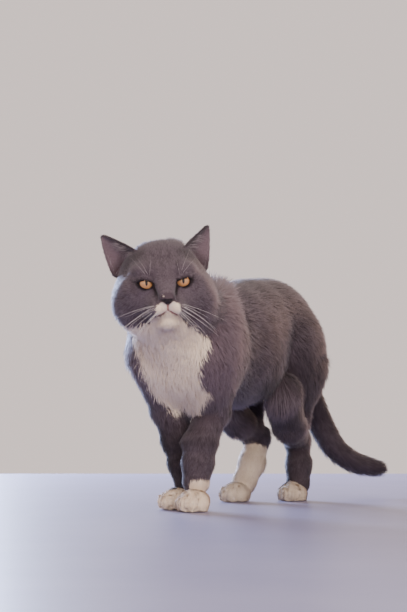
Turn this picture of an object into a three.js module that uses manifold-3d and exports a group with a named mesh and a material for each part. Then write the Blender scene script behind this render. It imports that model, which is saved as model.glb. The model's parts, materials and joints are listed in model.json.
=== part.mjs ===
// A standing shorthair tom cat with his head turned to his left, life size, in millimetres.
// +Z is up and the cat faces -Y, with his left side towards +X.
// The coat belongs to every form, so the solids reach out to the tips of the hairs.
// The body is one smooth field of rounded forms, parted by thin cuts where a person would name its parts.
import * as THREE from "three";
import { mergeVertices } from "three/addons/utils/BufferGeometryUtils.js";
import Module from "manifold-3d";

const wasm = await Module();
wasm.setup();

// ------------------------------------------------------------------ driving sizes

const GAP = 0.3; // clear space left by every cut
const PAW_TOP = 34; // height of the cut between each paw and its leg
const LEG_TOP = 112; // height of the cut between each lower leg and the body
const SIDES = { left: 1, right: -1 };

// Softness of the blends between forms, and the grid steps that set the size of the facets.
const SOFT = { trunk: 26, neck: 30, limb: 20, joint: 9, toes: 4, head: 13, face: 6, nape: 22 };
const CELL = { trunk: 20, neck: 16, leg: 13, legRise: 15, paw: 7.7, tail: 17 };

// Trunk forms: centre and half sizes. The spine bows 5 mm to the cat's right at the chest.
const TRUNK = [
  { centre: [-5, -78, 194], radii: [62, 72, 73] }, // rib cage
  { centre: [-1, 20, 205], radii: [65, 105, 74] }, // belly
  { centre: [0, 85, 228], radii: [54, 84, 61] }, // loins
  { centre: [1, 137, 214], radii: [62, 77, 76] }, // rump
  { centre: [29, -100, 196], radii: [29, 48, 60] }, // left shoulder
  { centre: [-37, -100, 202], radii: [27, 48, 54] }, // right shoulder
  { centre: [46, 132, 185], radii: [31, 57, 58] }, // left thigh
  { centre: [-42, 112, 183], radii: [31, 57, 58] }, // right thigh
];
const NECK = { top: [-7, -150, 240], topRadius: 53, foot: [-8, -110, 210], footRadius: 60 };

// Each leg runs down through named joints: place and coat radius.
const LEGS = {
  fore_left: [
    { at: [28, -118, 185], radius: 33 }, // shoulder point
    { at: [22, -86, 125], radius: 22 }, // elbow
    { at: [16.5, -108, 84], radius: 20.5 }, // upper forearm
    { at: [15.7, -113, 60], radius: 18.5 }, // lower forearm
    { at: [15, -117, 36], radius: 17 }, // wrist
  ],
  fore_right: [
    { at: [-38, -118, 185], radius: 33 },
    { at: [-35, -90, 125], radius: 23.5 },
    { at: [-25, -84, 86], radius: 20.5 },
    { at: [-17.8, -84, 58], radius: 18.5 },
    { at: [-13, -84, 34], radius: 16.5 },
  ],
  hind_left: [
    { at: [47, 70, 146], radius: 26 }, // knee
    { at: [37.5, 120, 100], radius: 21.5 }, // calf
    { at: [30, 166, 80], radius: 16.5 }, // hock
    { at: [35, 159, 48], radius: 16 }, // back of the foot
    { at: [36, 154, 23], radius: 16 }, // ankle end of the toes
  ],
  hind_right: [
    { at: [-43, 46, 142], radius: 26 },
    { at: [-30, 104, 105], radius: 21 },
    { at: [-20, 146, 84], radius: 17 },
    { at: [-18, 127, 50], radius: 16.5 },
    { at: [-22, 109, 24], radius: 16.5 },
  ],
};

// The hamstrings fill the back of each thigh down to the calf.
const HAMSTRINGS = {
  hind_left: { top: [42, 148, 172], topRadius: 31, foot: [35, 146, 104], footRadius: 19 },
  hind_right: { top: [-40, 138, 170], topRadius: 34, foot: [-27, 132, 104], footRadius: 20 },
};

// Each paw stands on its own flat sole: where its middle is, its half width and half length,
// how high its knuckles are, and how far it turns out in degrees.
const PAWS = {
  fore_left: { at: [19, -130], half: [19, 24], knuckle: 28, turn: 4 },
  fore_right: { at: [-18, -97], half: [18.5, 24], knuckle: 28, turn: -22 },
  hind_left: { at: [34.5, 141], half: [18, 25], knuckle: 27, turn: 12 },
  hind_right: { at: [-24.5, 91], half: [18.5, 26], knuckle: 27, turn: -8 },
};
const FOOT = { rise: 0.44, width: 0.98, length: 0.92 }; // shares of the knuckle height and half sizes
const TOE = {
  half: [8.2, 12.2, 10.4],
  spread: [-0.69, -0.24, 0.24, 0.69], // shares of the paw's half width
  reach: [-0.29, -0.67, -0.67, -0.29], // shares of the paw's half length
};

// The head frame: its origin lies between the eyes at the front of the eyeballs,
// with x to the cat's left, y up and z out of the face. Angles in degrees.
const HEAD_AT = new THREE.Vector3(15, -202, 267);
const HEAD_TURN = 31.5; // to the cat's left
const HEAD_NOD = 5; // down
const HEAD_ROLL = 4; // towards the cat's right ear
const SKULL = [
  { centre: [0, 2, -48], radii: [50, 48.5, 50] }, // brain case
  { centre: [0, -8, -84], radii: [48, 45, 40] }, // back of the head
];
const CHEEKS = [
  { centre: [34, -21, -38], radii: [27, 30, 33] }, // jowl
  { centre: [31, -6, -20], radii: [18, 14, 16] }, // cheekbone
  { centre: [20, 14, -14], radii: [16, 9, 15] }, // brow
];
const MUZZLE = [
  { centre: [0, -27, -4], radii: [23, 19, 23] }, // root of the muzzle
  { centre: [0, -44, 2], radii: [12, 8.5, 12] }, // chin
];
const WHISKER_PAD = { centre: [10, -28.5, 11], radii: [11.5, 9.5, 11.5] };
const NOSE_BRIDGE = { top: [0, 8, -6], topRadius: 10, foot: [0, -14, 14], footRadius: 7.5 };
const NOSE_TIP = { centre: [0, -18.5, 18.5], radii: [8, 6, 7] };
const EYE = { across: 43, radius: 11, depth: -10, lid: 1.4, half: [7.9, 5.3], tilt: 8 };

// The parts of the face that are taken out of the head: the nose leather, the white lips and the chin.
const FACE_PARTS = {
  nose: { centre: [0, -18.8, 21], radii: [7.3, 4.3, 8.5] },
  muzzle: { centre: [0, -30, 15], radii: [15.5, 10.5, 17] },
  chin: { centre: [0, -46.5, 6], radii: [14, 7.5, 16] },
};

// Each ear is a cupped shell between the ends of its base and its tip, mirrored for the right ear.
// The right ear leans a little further out.
const EAR = {
  outer: [55, 14, -60],
  inner: [26, 40, -36],
  tip: { left: [60, 62, -56], right: [65.5, 58, -56] },
  thick: 3.6,
  cup: 9,
  around: 12,
  rings: [-0.45, -0.15, 0.12, 0.36, 0.58, 0.76, 0.89, 0.97], // shares of the way up to the tip
};

// The tail hangs from the rump and swings out to the cat's left above the floor.
const TAIL_PATH = [
  [0, 196, 238],
  [4, 224, 205],
  [11, 243, 153],
  [24, 256, 108],
  [43, 263, 70],
  [63, 275, 50.5],
  [84, 289, 41],
  [104, 302, 37],
];
const TAIL_RADIUS = { root: 21, middle: 18, tip: 13.5 };
const TAIL_PARTS = { tail_root: [0, 0.36], tail_middle: [0.36, 0.68], tail_tip: [0.68, 1] };
const TAIL_SIDES = 10;

// Where head, neck and trunk meet. The head's plane is given in the head frame.
const HEAD_CUT = { normal: new THREE.Vector3(0, -0.85, -0.53).normalize(), distance: 62 };
const NECK_CUT = {
  normal: new THREE.Vector3(0, -0.81, 0.58).normalize(),
  point: new THREE.Vector3(-4, -118, 230),
};

// The upper legs as blocks seen from the side: the wall that parts them from the trunk,
// their front and back, the top of the crown and the height where the crown starts to bend.
const UPPER_LEGS = {
  upper_arm_left: { side: "left", wall: 21, front: -140, back: -46, crown: 236, bend: 176 },
  upper_arm_right: { side: "right", wall: 31, front: -140, back: -46, crown: 236, bend: 176 },
  thigh_left: { side: "left", wall: 26, front: 38, back: 186, crown: 246, bend: 160 },
  thigh_right: { side: "right", wall: 22, front: 12, back: 172, crown: 246, bend: 160 },
};

// Finish of each part.
const BLUE_FUR = { color: 0x5b5259, roughness: 0.9, metalness: 0 };
const WHITE_FUR = { color: 0xd2c7bb, roughness: 0.9, metalness: 0 };
const NOSE_LEATHER = { color: 0x2f2430, roughness: 0.5, metalness: 0 };
const AMBER_EYE = { color: 0xcf9a58, roughness: 0.15, metalness: 0 };

// ------------------------------------------------------------------ fields
// A field gives roughly how far a place lies outside a form, and is negative inside it.

function egg({ centre, radii }) {
  return (x, y, z) => {
    const [a, b, c] = [(x - centre[0]) / radii[0], (y - centre[1]) / radii[1], (z - centre[2]) / radii[2]];
    const reach = Math.hypot(a, b, c);
    const slope = Math.hypot(a / radii[0], b / radii[1], c / radii[2]);
    return slope > 0 ? (reach * (reach - 1)) / slope : -Math.min(...radii);
  };
}

function mirroredEggs({ centre, radii }) {
  return [egg({ centre, radii }), egg({ centre: [-centre[0], centre[1], centre[2]], radii })];
}

// A round bar that tapers from its top to its foot, with ball ends.
function bone({ top, topRadius, foot, footRadius }) {
  const axis = foot.map((value, i) => value - top[i]);
  const length2 = axis[0] ** 2 + axis[1] ** 2 + axis[2] ** 2;
  return (x, y, z) => {
    const [a, b, c] = [x - top[0], y - top[1], z - top[2]];
    const share = THREE.MathUtils.clamp((a * axis[0] + b * axis[1] + c * axis[2]) / length2, 0, 1);
    const radius = topRadius + share * (footRadius - topRadius);
    return Math.hypot(a - share * axis[0], b - share * axis[1], c - share * axis[2]) - radius;
  };
}

// Forms joined with a soft fillet.
function blend(softness, fields) {
  return (x, y, z) => {
    let nearest = fields[0](x, y, z);
    for (let i = 1; i < fields.length; i++) {
      const next = fields[i](x, y, z);
      const overlap = Math.max(softness - Math.abs(nearest - next), 0) / softness;
      nearest = Math.min(nearest, next) - (overlap * overlap * softness) / 4;
    }
    return nearest;
  };
}

// Forms joined with no fillet, so that two legs don't grow together.
function together(fields) {
  return (x, y, z) => Math.min(...fields.map((field) => field(x, y, z)));
}

function placed(field, matrix) {
  const back = matrix.clone().invert();
  const point = new THREE.Vector3();
  return (x, y, z) => {
    point.set(x, y, z).applyMatrix4(back);
    return field(point.x, point.y, point.z);
  };
}

// ------------------------------------------------------------------ surfaces

function steps(from, to, size) {
  const count = Math.max(1, Math.round((to - from) / size));
  return Array.from({ length: count + 1 }, (_, i) => from + ((to - from) * i) / count);
}

// Grid lines that start at one place and go on in stretches, each with its own step.
function graded(from, ...stretches) {
  const lines = [from];
  for (const [to, size] of stretches) lines.push(...steps(lines.at(-1), to, size).slice(1));
  return lines;
}

function indexed(points, triangles) {
  return new THREE.BufferGeometry().setFromPoints(points).setIndex(triangles);
}

// The closed surface where a field is zero, on grid lines of the frame that `place` describes.
// Every grid cell that the surface crosses gets one vertex, which then settles onto the surface.
// The outermost grid points count as outside, which closes a form that runs past the grid.
function surface(field, place, xs, ys, zs) {
  const [nx, ny, nz] = [xs.length, ys.length, zs.length];
  const probe = new THREE.Vector3();
  const value = (x, y, z) => {
    probe.set(x, y, z).applyMatrix4(place);
    return field(probe.x, probe.y, probe.z);
  };
  const id = (i, j, k) => (k * ny + j) * nx + i;
  const isEdge = (n, count) => n === 0 || n === count - 1;
  const eachPoint = (lastI, lastJ, lastK, visit) => {
    for (let k = 0; k < lastK; k++)
      for (let j = 0; j < lastJ; j++)
        for (let i = 0; i < lastI; i++) visit(i, j, k);
  };

  const samples = new Float64Array(nx * ny * nz);
  eachPoint(nx, ny, nz, (i, j, k) => {
    const sample = value(xs[i], ys[j], zs[k]);
    const outermost = isEdge(i, nx) || isEdge(j, ny) || isEdge(k, nz);
    samples[id(i, j, k)] = outermost ? Math.max(sample, 0.01) : sample;
  });
  unpinch(samples, id, eachPoint, [nx, ny, nz]);

  const corners = [0, 1, 2, 3, 4, 5, 6, 7].map((n) => [n & 1, (n >> 1) & 1, n >> 2]);
  const edges = corners.flatMap((_, a) => [1, 2, 4].filter((bit) => !(a & bit)).map((bit) => [a, a | bit]));
  const points = [];
  const cellPoint = new Int32Array(nx * ny * nz).fill(-1);
  eachPoint(nx - 1, ny - 1, nz - 1, (i, j, k) => {
    const places = corners.map(([a, b, c]) => new THREE.Vector3(xs[i + a], ys[j + b], zs[k + c]));
    const levels = corners.map(([a, b, c]) => samples[id(i + a, j + b, k + c)]);
    const crossings = edges
      .filter(([a, b]) => levels[a] < 0 !== levels[b] < 0)
      .map(([a, b]) => places[a].clone().lerp(places[b], levels[a] / (levels[a] - levels[b])));
    if (!crossings.length) return;
    const vertex = average(crossings);
    const shortest = Math.min(xs[i + 1] - xs[i], ys[j + 1] - ys[j], zs[k + 1] - zs[k]);
    if (!isEdge(i, nx - 1) && !isEdge(j, ny - 1) && !isEdge(k, nz - 1)) settle(value, vertex, shortest / 2);
    cellPoint[id(i, j, k)] = points.length;
    points.push(vertex);
  });

  const triangles = [];
  const addQuad = (ring, flip) => {
    if (flip) ring.reverse();
    const [p, q, r, s] = ring.map((n) => points[n]);
    const order = p.distanceTo(r) < q.distanceTo(s) ? [0, 1, 2, 0, 2, 3] : [0, 1, 3, 1, 2, 3];
    triangles.push(...order.map((n) => ring[n]));
  };
  eachPoint(nx - 1, ny - 1, nz - 1, (i, j, k) => {
    const inside = samples[id(i, j, k)] < 0;
    const cell = (a, b, c) => cellPoint[id(i - a, j - b, k - c)];
    const leaves = (a, b, c) => inside !== samples[id(i + a, j + b, k + c)] < 0;
    const here = cell(0, 0, 0);
    if (j && k && leaves(1, 0, 0)) addQuad([cell(0, 1, 1), cell(0, 0, 1), here, cell(0, 1, 0)], !inside);
    if (i && k && leaves(0, 1, 0)) addQuad([cell(1, 0, 1), cell(1, 0, 0), here, cell(0, 0, 1)], !inside);
    if (i && j && leaves(0, 0, 1)) addQuad([cell(1, 1, 0), cell(0, 1, 0), here, cell(1, 0, 0)], !inside);
  });
  return indexed(points, triangles);
}

// Two opposite corners inside on one face of a cell would pinch the surface to an edge that four
// triangles share, so the corner that is less deep goes outside, until no such face is left.
function unpinch(samples, id, eachPoint, [nx, ny, nz]) {
  const directions = [[1, 0, 0], [0, 1, 0], [0, 0, 1]];
  let found = true;
  while (found) {
    found = false;
    eachPoint(nx - 1, ny - 1, nz - 1, (i, j, k) => {
      for (const [u, v] of [[0, 1], [1, 2], [2, 0]]) {
        const corner = (a, b) => {
          const [x, y, z] = [0, 1, 2].map((axis) => a * directions[u][axis] + b * directions[v][axis]);
          return id(i + x, j + y, k + z);
        };
        const ring = [corner(0, 0), corner(1, 0), corner(1, 1), corner(0, 1)];
        const inside = ring.map((n) => samples[n] < 0);
        if (inside[0] !== inside[2] || inside[1] !== inside[3] || inside[0] === inside[1]) continue;
        const [a, b] = inside[0] ? [ring[0], ring[2]] : [ring[1], ring[3]];
        samples[samples[a] > samples[b] ? a : b] = 0.01;
        found = true;
      }
    });
  }
}

// Moves a vertex along the field's slope onto the zero level, but no further than the limit.
function settle(value, vertex, limit) {
  const start = vertex.clone();
  const reach = 0.2;
  const flattest = 0.05; // keeps a step finite where the field is nearly level
  for (let turn = 0; turn < 3; turn++) {
    const { x, y, z } = vertex;
    const slope = new THREE.Vector3(
      value(x + reach, y, z) - value(x - reach, y, z),
      value(x, y + reach, z) - value(x, y - reach, z),
      value(x, y, z + reach) - value(x, y, z - reach),
    ).divideScalar(2 * reach);
    vertex.addScaledVector(slope, -value(x, y, z) / Math.max(slope.lengthSq(), flattest));
  }
  const move = vertex.clone().sub(start);
  if (move.length() > limit) vertex.copy(start).add(move.setLength(limit));
}

function average(points) {
  return points.reduce((sum, point) => sum.add(point), new THREE.Vector3()).divideScalar(points.length);
}

// Every vertex moved outwards along its normal.
function swollen(geometry, distance) {
  const result = geometry.clone();
  result.computeVertexNormals();
  const { position, normal } = result.attributes;
  position.array.forEach((value, i) => {
    position.array[i] = value + distance * normal.array[i];
  });
  return result;
}

// A closed skin over rings that all have the same number of points, with a fan over each end.
function loft(rings) {
  const around = rings[0].length;
  const last = (rings.length - 1) * around;
  const points = [...rings.flat(), average(rings[0]), average(rings.at(-1))];
  const [firstHub, lastHub] = [points.length - 2, points.length - 1];
  const triangles = [];
  for (let n = 0; n < around; n++) {
    const next = (n + 1) % around;
    triangles.push(next, n, firstHub, last + n, last + next, lastHub);
    for (let start = 0; start < last; start += around) {
      const [a, b] = [start + n, start + next];
      triangles.push(a, b, b + around, a, b + around, a + around);
    }
  }
  return facingOut(indexed(points, triangles));
}

// Turns every triangle round where a closed surface is inside out.
function facingOut(geometry) {
  const index = geometry.getIndex().array;
  const position = geometry.getAttribute("position");
  const corner = (i) => new THREE.Vector3().fromBufferAttribute(position, index[i]);
  let volume = 0;
  for (let i = 0; i < index.length; i += 3) volume += corner(i).dot(corner(i + 1).cross(corner(i + 2)));
  if (volume < 0) geometry.setIndex(Array.from(index).reverse());
  return geometry;
}

// ------------------------------------------------------------------ solids

function solid(geometry) {
  const bare = new THREE.BufferGeometry();
  bare.setAttribute("position", geometry.getAttribute("position"));
  bare.setIndex(geometry.getIndex());
  const merged = mergeVertices(bare, 1e-4);
  const vertProperties = new Float32Array(merged.getAttribute("position").array);
  const triVerts = new Uint32Array(merged.getIndex().array);
  return new wasm.Manifold(new wasm.Mesh({ numProp: 3, vertProperties, triVerts }));
}

// All space on the far side of a plane, as far as the cat reaches.
function beyond(normal, distance) {
  const size = 1500;
  const box = new THREE.BoxGeometry(size, size, size).translate(0, 0, size / 2 + distance);
  const turn = new THREE.Quaternion().setFromUnitVectors(new THREE.Vector3(0, 0, 1), normal);
  return solid(box.applyQuaternion(turn));
}

function above(height) {
  return beyond(new THREE.Vector3(0, 0, 1), height);
}

function below(height) {
  return beyond(new THREE.Vector3(0, 0, -1), -height);
}

function eggSolid({ centre, radii }, growth = 0) {
  const ball = new THREE.SphereGeometry(1, 11, 6).scale(...radii.map((radius) => radius + growth));
  return solid(ball.translate(...centre));
}

// ------------------------------------------------------------------ the whole body as one field

function turnBy(axis, degrees) {
  return new THREE.Matrix4().makeRotationAxis(axis, THREE.MathUtils.degToRad(degrees));
}

const [AXIS_X, AXIS_Y, AXIS_Z] = [[1, 0, 0], [0, 1, 0], [0, 0, 1]].map((axis) => new THREE.Vector3(...axis));
const WORLD = new THREE.Matrix4();
const headPlace = new THREE.Matrix4()
  .makeTranslation(HEAD_AT)
  .multiply(turnBy(AXIS_Z, HEAD_TURN))
  .multiply(turnBy(AXIS_X, 90 + HEAD_NOD))
  .multiply(turnBy(AXIS_Z, HEAD_ROLL));

function eyeCentre(side) {
  return [(SIDES[side] * EYE.across) / 2, 0, EYE.depth];
}

function headForms() {
  const bulk = blend(SOFT.head, [...SKULL.map(egg), ...CHEEKS.flatMap(mirroredEggs)]);
  const muzzle = blend(SOFT.face, [...MUZZLE.map(egg), ...mirroredEggs(WHISKER_PAD), egg(NOSE_TIP)]);
  const face = blend(SOFT.face, [muzzle, bone(NOSE_BRIDGE)]);
  const lidRadii = Array(3).fill(EYE.radius + EYE.lid);
  const lids = Object.keys(SIDES).map((side) => egg({ centre: eyeCentre(side), radii: lidRadii }));
  return blend(SOFT.face, [blend(SOFT.head, [bulk, face]), ...lids]);
}

function pawPlace(name) {
  const { at, turn } = PAWS[name];
  return new THREE.Matrix4().makeTranslation(at[0], at[1], 0).multiply(turnBy(AXIS_Z, turn));
}

function pawField(name) {
  const { half, knuckle } = PAWS[name];
  const rise = knuckle * FOOT.rise;
  const foot = { centre: [0, 0, rise], radii: [half[0] * FOOT.width, half[1] * FOOT.length, knuckle - rise] };
  const toes = TOE.spread.map((spread, i) => ({
    centre: [spread * half[0], TOE.reach[i] * half[1], TOE.half[2] * 0.9],
    radii: TOE.half,
  }));
  return placed(blend(SOFT.toes, [foot, ...toes].map(egg)), pawPlace(name));
}

function legField(name) {
  const joints = LEGS[name];
  const bones = joints.slice(1).map((joint, i) =>
    bone({ top: joints[i].at, topRadius: joints[i].radius, foot: joint.at, footRadius: joint.radius }),
  );
  if (HAMSTRINGS[name]) bones.push(bone(HAMSTRINGS[name]));
  return blend(SOFT.toes, [blend(SOFT.joint, bones), pawField(name)]);
}

const legNames = Object.keys(LEGS);
const tailRoot = bone({ top: TAIL_PATH[0], topRadius: 24, foot: TAIL_PATH[1], footRadius: 19 });
const torsoField = blend(SOFT.neck, [blend(SOFT.trunk, [...TRUNK.map(egg), tailRoot]), bone(NECK)]);
const bodyWithLeg = (name) => blend(SOFT.limb, [torsoField, legField(name)]);
const wholeField = blend(SOFT.nape, [together(legNames.map(bodyWithLeg)), placed(headForms(), headPlace)]);

// ------------------------------------------------------------------ parts of the body

const bodyGroup = new THREE.Group();
const headGroup = new THREE.Group();
headGroup.applyMatrix4(headPlace);
bodyGroup.add(headGroup);

// Adds the biggest body of a shape to a group as a named mesh. Anything else is a crumb left by a cut.
function addPart(name, shape, finish, group = bodyGroup) {
  const [main] = shape.decompose().sort((a, b) => b.volume() - a.volume());
  const { vertProperties, triVerts } = main.getMesh();
  const geometry = new THREE.BufferGeometry();
  geometry.setAttribute("position", new THREE.BufferAttribute(vertProperties, 3));
  geometry.setIndex(new THREE.BufferAttribute(triVerts, 1));
  geometry.computeVertexNormals();
  const mesh = new THREE.Mesh(geometry, new THREE.MeshStandardMaterial(finish));
  mesh.name = name;
  group.add(mesh);
}

// Space beyond the cut between head and neck, seen from the head and from the body.
function neckSide() {
  return beyond(HEAD_CUT.normal, HEAD_CUT.distance - GAP / 2);
}

function headSide() {
  return beyond(HEAD_CUT.normal.clone().negate(), -HEAD_CUT.distance - GAP / 2).transform(headPlace.elements);
}

// The gap between the lids: a tilted oval that runs forward from the middle of the eyeball.
function eyeOpening(side) {
  const outline = new THREE.Shape();
  const tilt = THREE.MathUtils.degToRad(SIDES[side] * EYE.tilt);
  outline.absellipse(0, 0, EYE.half[0], EYE.half[1], 0, 2 * Math.PI, false, tilt);
  const bore = new THREE.ExtrudeGeometry(outline, { depth: 30, bevelEnabled: false, curveSegments: 12 });
  return solid(bore.translate(...eyeCentre(side)));
}

// A cupped shell that narrows to a rounded tip, with thin rims that curl forward.
function earShell(side) {
  const outer = new THREE.Vector3(...EAR.outer);
  const inner = new THREE.Vector3(...EAR.inner);
  const foot = outer.clone().lerp(inner, 0.5);
  const rise = new THREE.Vector3(...EAR.tip[side]).sub(foot);
  const halfWidth = inner.clone().sub(outer).multiplyScalar(0.5);
  const front = rise.clone().cross(halfWidth).normalize();
  if (front.z < 0) front.negate();
  const rimDrop = 0.1; // how far the rims fall back behind the middle of each ring
  const rings = EAR.rings.map((share) => {
    const buried = share <= 0;
    const narrow = buried ? 1 - 0.5 * share : Math.sqrt(1 - share ** 1.7) * (1 - 0.42 * share);
    const thick = EAR.thick * (buried ? 1 : 1 - 0.5 * share);
    return Array.from({ length: EAR.around }, (_, n) => {
      const angle = (2 * Math.PI * n) / EAR.around;
      const across = Math.cos(angle);
      const curl = EAR.cup * (across ** 2 - 0.5) * narrow;
      const point = foot.clone().addScaledVector(rise, share - rimDrop * across ** 2 * (1 - share));
      point.addScaledVector(halfWidth, across * narrow);
      point.addScaledVector(front, curl + (thick / 2) * Math.sin(angle));
      point.x *= SIDES[side];
      return point;
    });
  });
  return loft(rings);
}

function addHead() {
  const xs = graded(-77, [-21, 14], [21, 5.25], [77, 14]);
  const ys = graded(-80, [-54, 13], [-10, 5.5], [62, 12]);
  const zs = graded(-124, [-28, 16], [4, 8], [34, 5]);
  const raw = surface(wholeField, headPlace, xs, ys, zs);
  let head = solid(raw).subtract(neckSide());

  const taken = [];
  for (const [name, form] of Object.entries(FACE_PARTS)) {
    let piece = head.intersect(eggSolid(form));
    for (const earlier of taken) piece = piece.subtract(eggSolid(earlier, GAP));
    addPart(name, piece, name === "nose" ? NOSE_LEATHER : WHITE_FUR, headGroup);
    taken.push(form);
  }
  for (const form of taken) head = head.subtract(eggSolid(form, GAP));

  const wideHead = solid(swollen(raw, GAP));
  for (const side of Object.keys(SIDES)) {
    const ball = (radius) => solid(new THREE.IcosahedronGeometry(radius, 2).translate(...eyeCentre(side)));
    head = head.subtract(ball(EYE.radius + GAP)).subtract(eyeOpening(side));
    addPart("eye_" + side, ball(EYE.radius), AMBER_EYE, headGroup);
    addPart("ear_" + side, solid(earShell(side)).subtract(wideHead), BLUE_FUR, headGroup);
  }
  addPart("head", head, BLUE_FUR, headGroup);
}

function addNeck() {
  const size = CELL.neck;
  const raw = surface(wholeField, WORLD, steps(-84, 84, size), steps(-240, -40, size), steps(124, 330, size));
  const { normal, point } = NECK_CUT;
  const trunkSide = beyond(normal.clone().negate(), -normal.dot(point) - GAP / 2);
  addPart("neck", solid(raw).subtract(headSide()).subtract(trunkSide), BLUE_FUR);
}

// A block that takes an upper leg out of the trunk. Seen from the side it has an upright back and
// a crown that curves over to a front above the knee or the point of the shoulder.
function upperLegBlock({ side, wall, front, back, crown, bend }, growth = 0) {
  const [first, last, top] = [front - growth, back + growth, crown + growth];
  const summit = first + 0.6 * (last - first);
  const outline = new THREE.Shape();
  outline.moveTo(first, 0);
  outline.lineTo(last, 0);
  outline.lineTo(last, bend);
  outline.quadraticCurveTo(last, top, summit, top);
  outline.quadraticCurveTo(first, top, first, bend - 12);
  outline.closePath();
  const depth = 150;
  const block = new THREE.ExtrudeGeometry(outline, { depth, bevelEnabled: false, curveSegments: 5 });
  block.applyMatrix4(new THREE.Matrix4().makeBasis(AXIS_Y, AXIS_Z, AXIS_X));
  const inner = wall - growth;
  return solid(block.translate(side === "left" ? inner : -inner - depth, 0, 0));
}

// Adds the trunk and the upper legs, and gives back the trunk's whole form, a gap wider.
function addTrunk() {
  const size = CELL.trunk;
  const raw = surface(wholeField, WORLD, steps(-93, 93, size), steps(-204, 252, size), steps(96, 320, size));
  const { normal, point } = NECK_CUT;
  let trunk = solid(raw)
    .subtract(beyond(normal, normal.dot(point) - GAP / 2))
    .subtract(headSide())
    .subtract(below(LEG_TOP + GAP / 2));
  for (const [name, block] of Object.entries(UPPER_LEGS)) {
    addPart(name, trunk.intersect(upperLegBlock(block)), BLUE_FUR);
    trunk = trunk.subtract(upperLegBlock(block, GAP));
  }
  addPart("trunk", trunk, BLUE_FUR);
  return solid(swollen(raw, GAP));
}

function addLowerLeg(name) {
  const [end, side] = name.split("_");
  const field = bodyWithLeg(name);
  const joints = LEGS[name].slice(end === "fore" ? 1 : 0);
  const margin = 34;
  const span = (axis) => {
    const values = joints.map((joint) => joint.at[axis]);
    return steps(Math.min(...values) - margin, Math.max(...values) + margin, CELL.leg);
  };
  const shaft = solid(surface(field, WORLD, span(0), span(1), steps(16, 136, CELL.legRise)));
  const lower = shaft.subtract(above(LEG_TOP - GAP / 2)).subtract(below(PAW_TOP + GAP / 2));
  addPart((end === "fore" ? "forearm_" : "shank_") + side, lower, BLUE_FUR);

  const place = pawPlace(name);
  const size = CELL.paw;
  const foot = surface(field, place, steps(-29, 29, size), steps(-40, 48, size), steps(-9, 50, size));
  const paw = solid(foot.applyMatrix4(place)).subtract(above(PAW_TOP - GAP / 2)).subtract(below(0));
  addPart(end + "paw_" + side, paw, WHITE_FUR);
}

function addTail(wideTrunk) {
  const places = TAIL_PATH.map((place) => new THREE.Vector3(...place));
  const path = new THREE.CatmullRomCurve3(places, false, "centripetal");
  const length = path.getLength();
  const { root, middle, tip } = TAIL_RADIUS;
  const radiusAt = (share) => {
    const body = share < 0.5 ? root + 2 * share * (middle - root) : middle + (2 * share - 1) * (tip - middle);
    const toTip = (1 - share) * length;
    return toTip < tip ? body * Math.sqrt(Math.max(1 - (1 - toTip / tip) ** 2, 0.01)) : body;
  };
  const ringAt = (share) => {
    const along = path.getTangentAt(share);
    const up = AXIS_X.clone().cross(along).normalize();
    const out = along.clone().cross(up);
    return Array.from({ length: TAIL_SIDES }, (_, n) => {
      const angle = (2 * Math.PI * n) / TAIL_SIDES;
      const spoke = out.clone().multiplyScalar(Math.cos(angle)).addScaledVector(up, Math.sin(angle));
      return path.getPointAt(share).addScaledVector(spoke, radiusAt(share));
    });
  };
  const halfGap = GAP / 2 / length;
  for (const [name, [start, end]] of Object.entries(TAIL_PARTS)) {
    const from = start + (start > 0 ? halfGap : 0);
    const isTip = end === 1;
    const straightEnd = isTip ? 1 - tip / length : end - halfGap;
    const roundEnd = isTip ? [0.45, 0.8, 1].map((share) => straightEnd + (share * tip) / length) : [];
    const shares = [...steps(from, straightEnd, CELL.tail / length), ...roundEnd];
    const piece = solid(loft(shares.map(ringAt)));
    addPart(name, start > 0 ? piece : piece.subtract(wideTrunk), BLUE_FUR);
  }
}

addHead();
addNeck();
const wideTrunk = addTrunk();
legNames.forEach(addLowerLeg);
addTail(wideTrunk);

// The origin lies on the floor, under the middle of the cat's whole outline.
const cat = new THREE.Group();
cat.add(bodyGroup);
const extent = new THREE.Box3().setFromObject(bodyGroup, true);
const middle = extent.getCenter(new THREE.Vector3());
bodyGroup.position.set(-middle.x, -middle.y, -extent.min.z);

export default cat;
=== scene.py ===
"""A life-size standing shorthair tom cat with a plush blue-grey and white coat.

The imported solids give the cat's outline out to the tips of his coat. This script dresses them with one
skin under the coat, eyes behind real lids, tufts of fur that follow the lie of the coat, whiskers, and a
plain studio. Sizes are in millimetres in the cat's own frame, where +Z is up, he faces -Y and his left
side is towards +X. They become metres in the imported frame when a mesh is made.
"""

import json
import logging
import math
from contextlib import contextmanager
from dataclasses import dataclass, field
from enum import Enum
from functools import partial
from typing import Callable, Iterable, Iterator, Optional

import bpy
import numpy as np
from bpy.types import Material, Mesh, Node, NodeSocket, NodeTree, Object
from mathutils import Matrix, Vector

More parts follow.
